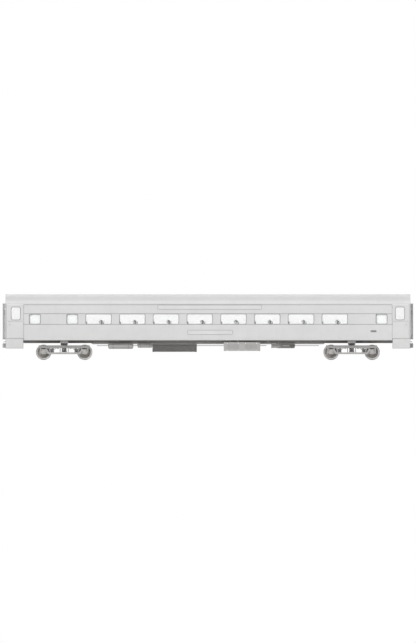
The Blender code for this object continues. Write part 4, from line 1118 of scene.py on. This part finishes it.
def bogie_frame_cast(end_name, pivot):
    """The cast frame: side sills with flanges, pedestals with ties, transoms and end beams."""
    shape = Shape()
    body = end_name + "_bogie"
    for side in (1, -1):
        near, far = side * FRAME_Y[0], side * FRAME_Y[1]
        shape.outline([(pivot + along, up) for along, up in FRAME_WEB], "XZ",
                      *pair(side, 0.955, 1.030), "bogie")
        shape.box(around(pivot, 1.600), (near, far), (0.893, 0.920), "bogie")
        shape.box(around(pivot, 1.590), (near, far), (0.745, 0.770), "bogie")
        for rib in (-1.05, -0.56, -0.24, 0.24, 0.56, 1.05):
            shape.box(around(pivot + rib, 0.012), (near, far - side * 0.006), (0.768, 0.896),
                      "bogie")
        for axle in (1, -1):
            for leg in (1, -1):
                middle = pivot + axle * AXLE_GAP / 2 + leg * PEDESTAL_LEG
                shape.box(around(middle, 0.038), pair(side, 0.936, 1.044), (0.402, 0.760), "bogie")
                shape.box((middle - leg * 0.038, middle - leg * 0.046), pair(side, 0.925, 1.055),
                          (0.420, 0.740), "bright")
                for level in (0.445, 0.500):
                    bolt(shape, (middle, side * 1.044, level), (0, side, 0))
            for step in range(4):
                across = pivot + axle * AXLE_GAP / 2 + (step - 1.5) * 0.085
                bolt(shape, (across, side * 1.030, 0.832), (0, side, 0), 0.012)
        for across in (-HANGER_X, HANGER_X):
            shape.rod((pivot + across, side * HANGER_Y, 0.440),
                      (pivot + across, side * HANGER_Y, 0.850), 0.020, "spring")
            shape.box(around(pivot + across, 0.030), pair(side, 0.755, 0.825), (0.800, 0.868),
                      "bogie")
            shape.box((pivot + across * 1.10, pivot + across * 1.35), pair(side, 0.765, 0.815),
                      (0.820, 0.856), "bogie")
        shape.rod((pivot - 0.290, side * HANGER_Y, 0.428), (pivot + 0.290, side * HANGER_Y, 0.428),
                  0.022, "spring")
    for transom in (1, -1):
        middle = pivot + transom * TRANSOM_X
        shape.box(around(middle, 0.060), (-TRANSOM_REACH, TRANSOM_REACH), (0.872, 0.900), "bogie")
        shape.box(around(middle, 0.060), (-TRANSOM_REACH, TRANSOM_REACH), (0.700, 0.724), "bogie")
        shape.box(around(middle, 0.022), (-TRANSOM_REACH, TRANSOM_REACH), (0.720, 0.876), "bogie")
        for step in range(-3, 4):
            shape.box(around(middle, 0.054), (step * 0.280 - 0.010, step * 0.280 + 0.010),
                      (0.720, 0.876), "bogie")
        beam = pivot + transom * END_SILL_X
        shape.box(around(beam, 0.030), (-0.932, 0.932), (0.800, 0.900), "bogie")
    brake_rigging(shape, pivot)
    shape.done(body + "_cast_frame", body, "bogie", "bogie", edge=0.006,
               replaced=(body + "_frame",))


def brake_rigging(shape, pivot):
    """A brake head and shoe on each wheel's inner side, hung from the transoms."""
    for side in (1, -1):
        for axle in (1, -1):
            wheel = pivot + axle * AXLE_GAP / 2
            across = side * 0.752
            shoe = []
            for step in range(9):
                turn = math.radians(-22 + 44 * step / 8)
                shoe.append((wheel - axle * SHOE_RADIUS * math.cos(turn),
                             AXLE_Z + 0.060 + SHOE_RADIUS * math.sin(turn)))
            back = [(across_x - axle * 0.048, up) for across_x, up in reversed(shoe)]
            shape.outline(shoe + back, "XZ", across - 0.042, across + 0.042, "spring")
            head = wheel - axle * 0.560
            shape.box(around(head, 0.035), around(across, 0.030), (AXLE_Z - 0.030, AXLE_Z + 0.150),
                      "bogie")
            shape.tube([(head, across, AXLE_Z + 0.120), (head - axle * 0.070, across, 0.640),
                        (head - axle * 0.240, across, 0.760)], 0.016, "spring", 10)
    for axle in (1, -1):
        beam = pivot + axle * (AXLE_GAP / 2 - 0.590)
        shape.rod((beam, -0.740, AXLE_Z + 0.010), (beam, 0.740, AXLE_Z + 0.010), 0.028, "bogie",
                  16)


def bolster_cast(end_name, pivot):
    """The bolster, its springs with their seats, the spring plank and the centre bowl."""
    shape = Shape()
    body = end_name + "_bogie"
    shape.box(around(pivot, 0.200), (-BOLSTER_REACH, BOLSTER_REACH), (0.930, 0.968), "bogie")
    shape.box(around(pivot, 0.180), (-0.860, 0.860), (0.800, 0.934), "bogie")
    shape.box(around(pivot, 0.200), (-BOLSTER_REACH, BOLSTER_REACH), (0.780, 0.806), "bogie")
    shape.lathe([(0, 0.960), (0.238, 0.960), (0.238, 1.014), (0.214, 1.014), (0.210, 0.996),
                 (0.040, 0.996), (0.040, 1.012), (0, 1.012)], (pivot, 0, 0), "bogie", 48)
    for side in (1, -1):
        for along in (1, -1):
            shape.box(around(pivot, 0.078), pair(side, 0.562, 0.718), (0.962, 1.030), "bogie")
            centre = (pivot + along * BOLSTER_SPRING_X, side * BOLSTER_SPRING_Y)
            coil(shape, centre, 0.078, 0.508, 0.770, 4.5, 0.017)
        shape.box(around(pivot, 0.074), pair(side, 0.566, 0.714), (1.028, 1.044), "bright")
        for level, high in ((0.488, 0.510), (0.768, 0.784)):
            shape.box(around(pivot, 0.180), pair(side, 0.540, 0.740), (level, high), "bogie")
        spring_y = side * BOLSTER_SPRING_Y
        shape.rod((pivot, spring_y, 0.500), (pivot, spring_y, 0.780), 0.030, "pipe")
    shape.box(around(pivot, 0.190), (-PLANK_REACH, PLANK_REACH), (0.442, 0.462), "bogie")
    for along in (1, -1):
        shape.box((pivot + along * 0.188, pivot + along * 0.170), (-PLANK_REACH, PLANK_REACH),
                  (0.444, 0.490), "bogie")
    shape.done(body + "_cast_bolster", body, "bogie", "bogie", edge=0.005,
               replaced=(body + "_bolster",))


def side_gear_cast(end_name, pivot, side, side_name):
    """Equalizer, axle boxes with bolted lids, and the springs on their seats."""
    shape = Shape()
    body = end_name + "_bogie"
    upper = []
    lower = []
    for step in range(7):
        part = step / 6
        ease = part * part * (3 - 2 * part)
        upper.append((0.930 + 0.180 * part, 0.475 + 0.200 * ease))
        lower.append((1.000 + 0.170 * part, 0.365 + 0.205 * ease))
    half = upper + [(1.416, 0.678), (1.424, 0.640), (1.416, 0.574)] + lower[::-1]
    outline = ([(pivot + along, up) for along, up in half]
               + [(pivot - along, up) for along, up in reversed(half)])
    shape.outline(outline, "XZ", *pair(side, 1.062, 1.098), "bogie")
    for axle in (1, -1):
        middle = pivot + axle * AXLE_GAP / 2
        shape.outline(rounded(*around(middle, 0.148), AXLE_Z - 0.128, AXLE_Z + 0.100, 0.050), "XZ",
                      *pair(side, 0.902, 1.100), "bogie")
        shape.box(around(middle, 0.110), pair(side, 0.910, 1.102),
                  (AXLE_Z + 0.090, AXLE_Z + 0.138), "bogie")
        turn = quarter(-side, "X")
        shape.lathe([(0, 0), (0.118, 0), (0.118, 0.010), (0.100, 0.016), (0.060, 0.020),
                     (0, 0.020)], (middle, side * 1.099, AXLE_Z), "bogie", 40, turn)
        for step in range(6):
            angle = math.pi / 3 * step + math.pi / 6
            bolt(shape, (middle + 0.088 * math.cos(angle), side * 1.107,
                         AXLE_Z + 0.088 * math.sin(angle)), (0, side, 0), 0.010, 0.010, "bright")
        seat, seat_y = pivot + axle * GEAR_SPRING_X, side * GEAR_SPRING_Y
        shape.outline(rounded(*around(seat, 0.095), seat_y - 0.085, seat_y + 0.085, 0.030), "XY",
                      0.442, 0.490, "bogie")
        coil(shape, (seat, seat_y), 0.082, 0.490, 0.738, 4.5, 0.016)
        shape.rod((seat, seat_y, 0.480), (seat, seat_y, 0.600), 0.036, "pipe")
        shape.lathe([(0, 0.722), (0.088, 0.722), (0.088, 0.736), (0.060, 0.744), (0, 0.744)],
                    (seat, seat_y, 0), "bogie", 32)
    shape.done(body + "_" + side_name + "_equalizer", body, "bogie", "bogie", edge=0.005,
               replaced=(body + "_" + side_name + "_side_gear",))


def wheelset_turned(body, node):
    """An axle and its two wheels, turned smooth, with a bright tread and a painted web."""
    low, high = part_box(node)
    tip = AXLE_Z
    tread = tip - FLANGE
    back, face = WHEEL_BACK, WHEEL_FACE
    rim_inside = tread - RIM_DEPTH
    centre_x = (low.x + high.x) / 2
    shape = Shape()
    for side in (1, -1):
        turn = quarter(-side, "X")
        rim = [(rim_inside, face - 0.006), (tread - 0.012, face), (tread - 0.004, face - 0.006),
               (tread, back + 0.060), (tread + 0.004, back + 0.044), (tip - 0.010, back + 0.033)]
        for step in range(7):
            angle = math.radians(20 + 140 * step / 6)
            rim.append((tip - 0.013 + 0.013 * math.sin(angle),
                        back + 0.018 + 0.013 * math.cos(angle)))
        rim += [(tread + 0.004, back + 0.001), (tread - 0.012, back), (rim_inside, back + 0.008),
                (rim_inside, face - 0.006)]
        shape.lathe(rim, (centre_x, 0, AXLE_Z), "tread", 96, turn)
        web = [(rim_inside + 0.004, face - 0.040), (rim_inside - 0.020, back + 0.088),
               (0.300, back + 0.066), (0.220, back + 0.074), (0.170, back + 0.110),
               (0.150, face + 0.008), (0.142, face + 0.014), (0.100, face + 0.014),
               (0.096, face + 0.004), (0.078, face + 0.004), (0.078, back - 0.020),
               (0.096, back - 0.020), (0.140, back + 0.002), (0.170, back + 0.020),
               (0.220, back + 0.044), (0.300, back + 0.040), (rim_inside - 0.020, back + 0.050),
               (rim_inside + 0.004, back + 0.020)]
        shape.lathe(web, (centre_x, 0, AXLE_Z), "web", 72, turn)
        stub = [(0.086, 0), (0.086, 0.560), (0.094, 0.640), (0.094, face + 0.010), (0.070, 0.880),
                (0.070, AXLE_END - 0.008), (0.062, AXLE_END), (0, AXLE_END)]
        shape.lathe(stub, (centre_x, 0, AXLE_Z), "web", 48, turn)
    shape.done(node + "_turned", body, "tread", "wheel", edge=0, angle=40, replaced=(node,))


def coupler_cast(name, end):
    """The coupler's cast head with its knuckle, lock lifter and shank."""
    shape = Shape()
    body = name + "_coupler"
    foot, top = around(COUPLER_Z, HEAD_HALF)
    shape.outline([(end * along, end * across) for along, across in COUPLER_HEAD], "XY",
                  foot + 0.012, top - 0.012, "bogie")
    for low, high in ((foot, foot + 0.014), (top - 0.014, top)):
        collar = [(along, across * 0.86) for along, across in COUPLER_HEAD if along < 12.9]
        shape.outline([(end * along, end * across) for along, across in collar], "XY", low, high,
                      "bogie")
    shape.outline([(end * along, end * across) for along, across in KNUCKLE], "XY",
                  COUPLER_Z - 0.118, COUPLER_Z + 0.118, "spring")
    pin_x, pin_y = pair(end, *KNUCKLE_PIN)
    shape.rod((pin_x, pin_y, foot), (pin_x, pin_y, top), 0.022, "bright", 20)
    shape.box(pair(end, *SHANK), (-0.050, 0.050), (COUPLER_Z - 0.064, COUPLER_Z + 0.064), "bogie")
    shape.box(pair(end, *SHANK), (-0.064, 0.064), (COUPLER_Z + 0.040, COUPLER_Z + 0.064), "bogie")
    shape.box(pair(end, *SHANK), (-0.064, 0.064), (COUPLER_Z - 0.064, COUPLER_Z - 0.040), "bogie")
    shape.rod((end * DRAW_PIN_X, 0, COUPLER_Z - 0.059), (end * DRAW_PIN_X, 0, COUPLER_Z + 0.059),
              0.079, "bogie", 32)
    shape.tube([(end * 12.800, 0, COUPLER_Z + 0.100), (end * 12.800, 0, COUPLER_Z + 0.132),
                (*pair(end, 12.780, 0.050), COUPLER_Z + 0.136)], 0.010, "bright", 10)
    shape.done(name + "_coupler_cast", body, "bogie", "bogie", edge=0.006,
               replaced=(name + "_coupler",))


# ---------------------------------------------------------------- inside

def simulated_pad(name, size, cell, pressure):
    """A stuffed pad: a rounded block whose cloth skin is blown up and settles in its seams."""
    mesh = bmesh.new()
    bmesh.ops.create_cube(mesh, size=1, matrix=Matrix.Diagonal((*size, 1)))
    data = bpy.data.meshes.new(name)
    mesh.to_mesh(data)
    mesh.free()
    pad = bpy.data.objects.new(name, data)
    bpy.context.scene.collection.objects.link(pad)
    edges = pad.modifiers.new("Edges", "BEVEL")
    edges.width = min(size) * 0.22
    edges.segments = 3
    grid = pad.modifiers.new("Grid", "REMESH")
    grid.mode = "VOXEL"
    grid.voxel_size = cell
    baked(pad)
    tied = pad.vertex_groups.new(name="tied")
    lowest = min(vertex.co.z for vertex in pad.data.vertices)
    tied.add([vertex.index for vertex in pad.data.vertices if vertex.co.z < lowest + 0.004], 1.0,
             "REPLACE")
    cloth = pad.modifiers.new("Cloth", "CLOTH")
    settings = cloth.settings
    settings.quality = 6
    settings.mass = 0.3
    settings.tension_stiffness = 18
    settings.compression_stiffness = 18
    settings.shear_stiffness = 8
    settings.bending_stiffness = 2.0
    settings.use_pressure = True
    settings.uniform_pressure_force = pressure
    settings.vertex_group_mass = "tied"
    settings.effector_weights.gravity = 0
    cloth.point_cache.frame_end = PAD_STEPS
    for step in range(1, PAD_STEPS + 1):
        bpy.context.scene.frame_set(step)
    before = [vertex.co.copy() for vertex in pad.data.vertices]
    baked(pad)
    for vertex, start in zip(pad.data.vertices, before):
        moved = vertex.co - start
        if moved.length > PAD_SWELL:
            vertex.co = start + moved.normalized() * PAD_SWELL
    smooth = pad.modifiers.new("Fine", "SUBSURF")
    smooth.levels = 1
    smooth.render_levels = 1
    baked(pad)
    bpy.context.scene.frame_set(1)
    return pad


def baked(obj):
    """Replace an object's mesh with its evaluated one and drop the modifiers."""
    graph = bpy.context.evaluated_depsgraph_get()
    graph.update()
    data = bpy.data.meshes.new_from_object(obj.evaluated_get(graph))
    obj.modifiers.clear()
    obj.data = data


def copies(pad, placings):
    """One mesh that holds the pad at each of the given places."""
    mesh = bmesh.new()
    for placing in placings:
        first = len(mesh.verts)
        mesh.from_mesh(pad.data)
        mesh.verts.ensure_lookup_table()
        bmesh.ops.transform(mesh, matrix=placing, verts=mesh.verts[first:])
    return mesh


def seat_rows():
    """The place of each row of seats along the saloon, two to a large window."""
    first = LARGE_CENTRE - (LARGE_COUNT - 0.5) * SEAT_PITCH
    return [first + row * SEAT_PITCH for row in range(2 * LARGE_COUNT)]


def upholstery():
    """The cushions, backs and head linens of every seat, from two settled pads."""
    cushion = simulated_pad("cushion_pad", *CUSHION, PAD_PRESSURE)
    back = simulated_pad("back_pad", *BACK, PAD_PRESSURE)
    lift = Matrix.Rotation(math.radians(-CUSHION_TILT), 4, "Y")
    recline = Matrix.Rotation(math.radians(BACK_LEAN - 90), 4, "Y")
    for name, side in SIDES:
        bottoms, backs, linens = [], [], Shape()
        for row in seat_rows():
            for seat in SEATS_ACROSS:
                for placings, (along, up), turn in ((bottoms, CUSHION_AT, lift),
                                                    (backs, BACK_AT, recline)):
                    place = (row + along, side * seat, FLOOR + up)
                    placings.append(Matrix.Translation(place) @ turn)
                linen_box(linens, row, side * seat)
        for kind, pad, placings in (("cushions", cushion, bottoms), ("backs", back, backs)):
            mesh = copies(pad, placings)
            data = bpy.data.meshes.new(name + "_" + kind)
            mesh.to_mesh(data)
            mesh.free()
            data.shade_smooth()
            data.materials.append(FINISHES["seat"])
            obj = bpy.data.objects.new(name + "_seat_" + kind, data)
            bpy.context.scene.collection.objects.link(obj)
            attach(obj, "coach")
            if kind == "cushions":
                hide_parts(name + "_seats")
        linens.done(name + "_head_linens", "coach", "linen", "seat", edge=0.004)
    for pad in (cushion, back):
        bpy.data.objects.remove(pad)


def linen_box(shape, row, across):
    """A linen folded over the top of a seat's back, from a little below its edge in front."""
    lean = math.radians(BACK_LEAN)
    along = Vector((-math.sin(lean), 0, math.cos(lean)))
    out = Vector((math.cos(lean), 0, math.sin(lean)))
    foot = Vector((row + BACK_AT[0], 0, FLOOR + BACK_AT[1]))
    outer, inner = [], []
    for path, thick in ((outer, 0), (inner, 0.004)):
        path.append((0.060, 0.076 - thick))
        for step in range(13):
            turn = math.pi * step / 12
            path.append((0.300 + (0.095 - thick) * math.sin(turn),
                         -0.036 + (0.114 - thick) * math.cos(turn)))
        path.append((0.200, -0.146 + thick))
    points = [foot + along * up + out * forward for up, forward in outer + inner[::-1]]
    shape.outline([(point.x, point.z) for point in points], "XZ", across - 0.190, across + 0.190,
                  "linen")


def seat_frames(name, side):
    """Pedestals, shells, arm rests and foot bars of every double seat."""
    shape = Shape()
    for row in seat_rows():
        shape.box((row - 0.080, row + 0.100), pair(side, 0.560, 1.140),
                  (FLOOR + 0.002, FLOOR + 0.060), "pipe")
        shape.box((row - 0.050, row + 0.070), pair(side, 0.700, 1.000),
                  (FLOOR + 0.060, FLOOR + 0.300), "equipment")
        shape.box((row - 0.200, row + 0.270), pair(side, 0.350, 1.350),
                  (FLOOR + 0.292, FLOOR + 0.322), "bright")
        shape.outline([(row + along - 0.030, FLOOR + up) for along, up in SEAT_SHELL], "XZ",
                      *pair(side, 0.345, 1.355), "door")
        for across in ARMS_ACROSS:
            half = 0.020 if across != ARMS_ACROSS[1] else 0.014
            shape.outline([(row + along, FLOOR + up) for along, up in ARM_REST], "XZ",
                          side * across - half, side * across + half, "vinyl")
            if across != ARMS_ACROSS[1]:
                shape.tube([(row + 0.140, side * across, FLOOR + 0.560),
                            (row + 0.150, side * across, FLOOR + 0.440),
                            (row + 0.080, side * across, FLOOR + 0.320)], 0.012, "bright", 10)
        foot = row - 0.440
        shape.rod((foot, side * 0.400, FLOOR + 0.140), (foot, side * 1.300, FLOOR + 0.140), 0.012,
                  "bright")
        for across in (0.450, 1.250):
            shape.tube([(foot, side * across, FLOOR + 0.140),
                        (row - 0.240, side * across, FLOOR + 0.300)], 0.008, "bright", 8)
    shape.done(name + "_seat_frames", "coach", "bright", "interior", edge=0.004)


def luggage_rack(name, side):
    """Rods on brackets along the wall above the windows, with reading lamps."""
    shape = Shape()
    start, finish = SALOON
    for across, level in RACK_RODS:
        shape.rod((start, side * across, level), (finish, side * across, level), 0.010, "bright",
                  10)
    shape.rod((start, side * 0.990, 3.090), (finish, side * 0.990, 3.090), 0.014, "bright", 12)
    for row in seat_rows()[::2] + [seat_rows()[-1]]:
        shape.outline([(side * across, up) for across, up in RACK_BRACKET], "YZ", row - 0.012,
                      row + 0.012, "bright")
        for along in (-0.300, 0.300):
            shape.rod((row + along, side * 1.250, 3.036), (row + along, side * 1.250, 3.012),
                      0.034, "lamp", 24, 0.028)
    shape.done(name + "_luggage_rack", "coach", "bright", "interior", edge=0.002)


def ceiling():
    """Curved ceiling panels with a lamp strip along each side of the saloon."""
    shape = Shape()
    for start, finish in CEILING_SPANS:
        crown = arch(1.416, 0.340, 3.512, 24)
        under = [(across * 0.995, up - 0.008) for across, up in crown]
        shape.outline(crown + under[::-1], "YZ", start, finish, "ceiling")
    for side in (1, -1):
        shape.box((SALOON[0] + 0.050, SALOON[1] - 0.050), pair(side, 0.900, 1.020), (3.560, 3.620),
                  "bright")
        shape.box((SALOON[0] + 0.070, SALOON[1] - 0.070), pair(side, 0.914, 1.006), (3.546, 3.562),
                  "lamp")
    for lamp in ROUND_LAMPS:
        shape.lathe([(0, 0), (0.120, 0.002), (0.130, 0.014), (0.130, 0.026), (0, 0.026)],
                    (lamp, 0, 3.790), "lamp", 40)
    shape.done("ceiling", "coach", "ceiling", "interior", edge=0.001)


def wall_linings(name, side):
    """Panels, rails and heater covers on the inner face of a side wall."""
    shape = Shape()
    start, finish = SALOON[0] - 0.040, SALOON[1] + 0.040
    shape.box((start, finish), pair(side, INSIDE - 0.006, INSIDE + 0.001),
              (FLOOR + 0.020, FLOOR + 0.300), "door")
    shape.box((start, finish), pair(side, INSIDE - 0.010, INSIDE + 0.001), (2.170, 2.200),
              "bright")
    shape.box((start, finish), pair(side, INSIDE - 0.026, INSIDE + 0.001),
              (FLOOR + 0.040, FLOOR + 0.170), "equipment")
    # Painted shade: near-black strips stand in for the shaded slots in the heater covers.
    for index in range(HEATER_SLOTS):
        slot = start + 0.200 + index * (finish - start - 0.400) / (HEATER_SLOTS - 1)
        shape.box(around(slot, 0.080), pair(side, INSIDE - 0.028, INSIDE - 0.024),
                  (FLOOR + 0.140, FLOOR + 0.148), "seam")
    shape.done(name + "_wall_linings", "coach", "door", "interior", edge=0.001)


def partition_trim(name, end):
    """Bright door frames and corner beads on the partitions of one end."""
    shape = Shape()
    near, far = sorted(abs(point.x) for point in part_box(name + "_saloon_door"))
    for side in (1, -1):
        shape.box(pair(end, near - 0.008, far + 0.018), pair(side, 0.3615, 0.3900),
                  (FLOOR + 0.004, 3.400), "bright")
    start = ROOM_STARTS[name]
    for side in (1, -1):
        shape.box(pair(end, start + 0.001, start + 0.060), pair(side, 0.394, 0.400),
                  (FLOOR + 0.004, 3.440), "bright")
    shape.done(name + "_partition_trim", "coach", "bright", "interior", edge=0.001)


def floor_covering():
    """Sheet covering in the saloon, with a bright-edged runner along the aisle."""
    shape = Shape()
    shape.box((-11.570, 11.570), (-0.300, 0.300), (FLOOR - 0.001, FLOOR + 0.004), "floor")
    for side in (1, -1):
        shape.box(SALOON, pair(side, 0.300, 0.312), (FLOOR - 0.001, FLOOR + 0.005), "bright")
        for end in (1, -1):
            shape.box(pair(end, VESTIBULE[0], VESTIBULE[1] + 0.008), pair(side, 0.560, 0.585),
                      (FLOOR - 0.001, FLOOR + 0.004), "bright")
    for end in (1, -1):
        shape.box(pair(end, VESTIBULE[0] + 0.001, VESTIBULE[1] + 0.008), (-0.556, 0.556),
                  (FLOOR - 0.001, FLOOR + 0.003), "plate")
    shape.done("floor_runner", "coach", "floor", "floor", edge=0.001)


# ---------------------------------------------------------------- carried-over nodes

def finish_nodes():
    """Give every node that still shows its finish, with its edges eased a little."""
    for node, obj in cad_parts.items():
        for ending, finish in NODE_FINISHES.items():
            if node.endswith(ending):
                obj.data.materials.clear()
                obj.data.materials.append(FINISHES[finish])
                if finish in ("body", "post", "equipment", "door"):
                    edges = obj.modifiers.new("Edges", "BEVEL")
                    edges.width = 0.002
                    edges.segments = 2
                    edges.limit_method = "ANGLE"


def room_windows(name, side):
    """Frosted inner panes behind the windows of the small rooms."""
    shape = Shape()
    for centre in SMALL_CENTRES:
        left, right = centre - SMALL_WINDOW / 2, centre + SMALL_WINDOW / 2
        shape.outline(rounded(left - 0.010, right + 0.010, WINDOW_LOW - 0.010, WINDOW_HIGH + 0.010,
                              WINDOW_CORNER), "XZ", *pair(side, INSIDE - 0.003, INSIDE - 0.0005),
                      "frosted")
    shape.done(name + "_room_panes", "coach", "frosted", "glass", edge=0)


# ---------------------------------------------------------------- the whole coach

def build():
    """Every piece of the looks, on the whole coach, its sides, its ends and its corners."""
    roof_skin()
    finish_nodes()
    air_brakes()
    battery_box_trim()
    air_conditioner_trim()
    ceiling()
    floor_covering()
    upholstery()
    for name, side in SIDES:
        wall_trim(name, side)
        name_board(name + "_letter_board", side, *BOARDS[0])
        name_board(name + "_name_plate", side, *BOARDS[1])
        centre, level, length, height = NUMBER_MARK
        name_board(name + "_number_plate", side, -side * centre, level, length, height, "mark")
        room_windows(name, side)
        seat_frames(name, side)
        luggage_rack(name, side)
        wall_linings(name, side)
    for name, end in ENDS:
        end_details(name, end)
        bellows(name, end)
        coupler_cast(name, end)
        partition_trim(name, end)
        passage_door(name + "_end_door", name + "_end_door", end)
        passage_door(name + "_saloon_door", name + "_saloon_door", end)
        pivot = end * BOGIE_X
        bogie_frame_cast(name, pivot)
        bolster_cast(name, pivot)
        for side_name, side in SIDES:
            side_gear_cast(name, pivot, side, side_name)
            corner = name + "_" + side_name
            step_cover_trim(corner, end, side)
            side_door_trim(corner, end, side)
            doorway_trim(corner, end, side)
            trap_trim(corner, end, side)
            stair_treads(corner, end, side)
        for axle in ("front", "rear"):
            wheelset_turned(name + "_bogie_" + axle + "_axle",
                            name + "_bogie_" + axle + "_wheelset")


# ---------------------------------------------------------------- stage, light and camera

def stage():
    """A pale floor that reaches past the picture's edges."""
    data = bpy.data.meshes.new("stage_floor")
    mesh = bmesh.new()
    bmesh.ops.create_grid(mesh, x_segments=1, y_segments=1, size=STAGE_REACH)
    mesh.to_mesh(data)
    mesh.free()
    ground = bpy.data.objects.new("stage_floor", data)
    nodes = Nodes("stage_floor")
    cloudy = nodes.mix(nodes.range(nodes.noise(0.3, 3), 0, 1), *map(grey, STAGE_GREYS))
    data.materials.append(nodes.shade(Base_Color=cloudy, Roughness=0.9))
    bpy.context.scene.collection.objects.link(ground)


def lighting():
    """A white surround that lights softly, with one broad lamp high on the drawn side."""
    world = bpy.data.worlds.new("studio")
    bpy.context.scene.world = world
    world.use_nodes = True
    tree = world.node_tree
    background = tree.nodes["Background"]
    background.inputs["Color"].default_value = (1, 1, 1, 1)
    path = tree.nodes.new("ShaderNodeLightPath")
    level = tree.nodes.new("ShaderNodeMapRange")
    level.inputs["To Min"].default_value = WORLD_LIGHT
    level.inputs["To Max"].default_value = 1.0
    tree.links.new(path.outputs["Is Camera Ray"], level.inputs["Value"])
    tree.links.new(level.outputs["Result"], background.inputs["Strength"])
    for name, turn, strength, angle in SUNS:
        lamp = bpy.data.lights.new(name, "SUN")
        lamp.energy = strength
        lamp.angle = math.radians(angle)
        obj = bpy.data.objects.new(name, lamp)
        obj.rotation_euler = [math.radians(value) for value in turn]
        bpy.context.scene.collection.objects.link(obj)
    bpy.context.scene.view_settings.view_transform = "Standard"


def camera():
    """Square to the coach's right side, level and without perspective, as it is drawn."""
    data = bpy.data.cameras.new("camera")
    data.type = "ORTHO"
    data.ortho_scale = PICTURE_SPAN
    data.clip_end = CAMERA_REACH
    obj = bpy.data.objects.new("camera", data)
    obj.location = CAMERA_PLACE
    obj.rotation_euler = (math.radians(90), 0, 0)
    bpy.context.scene.collection.objects.link(obj)
    bpy.context.scene.camera = obj


build()
stage()
lighting()
camera()
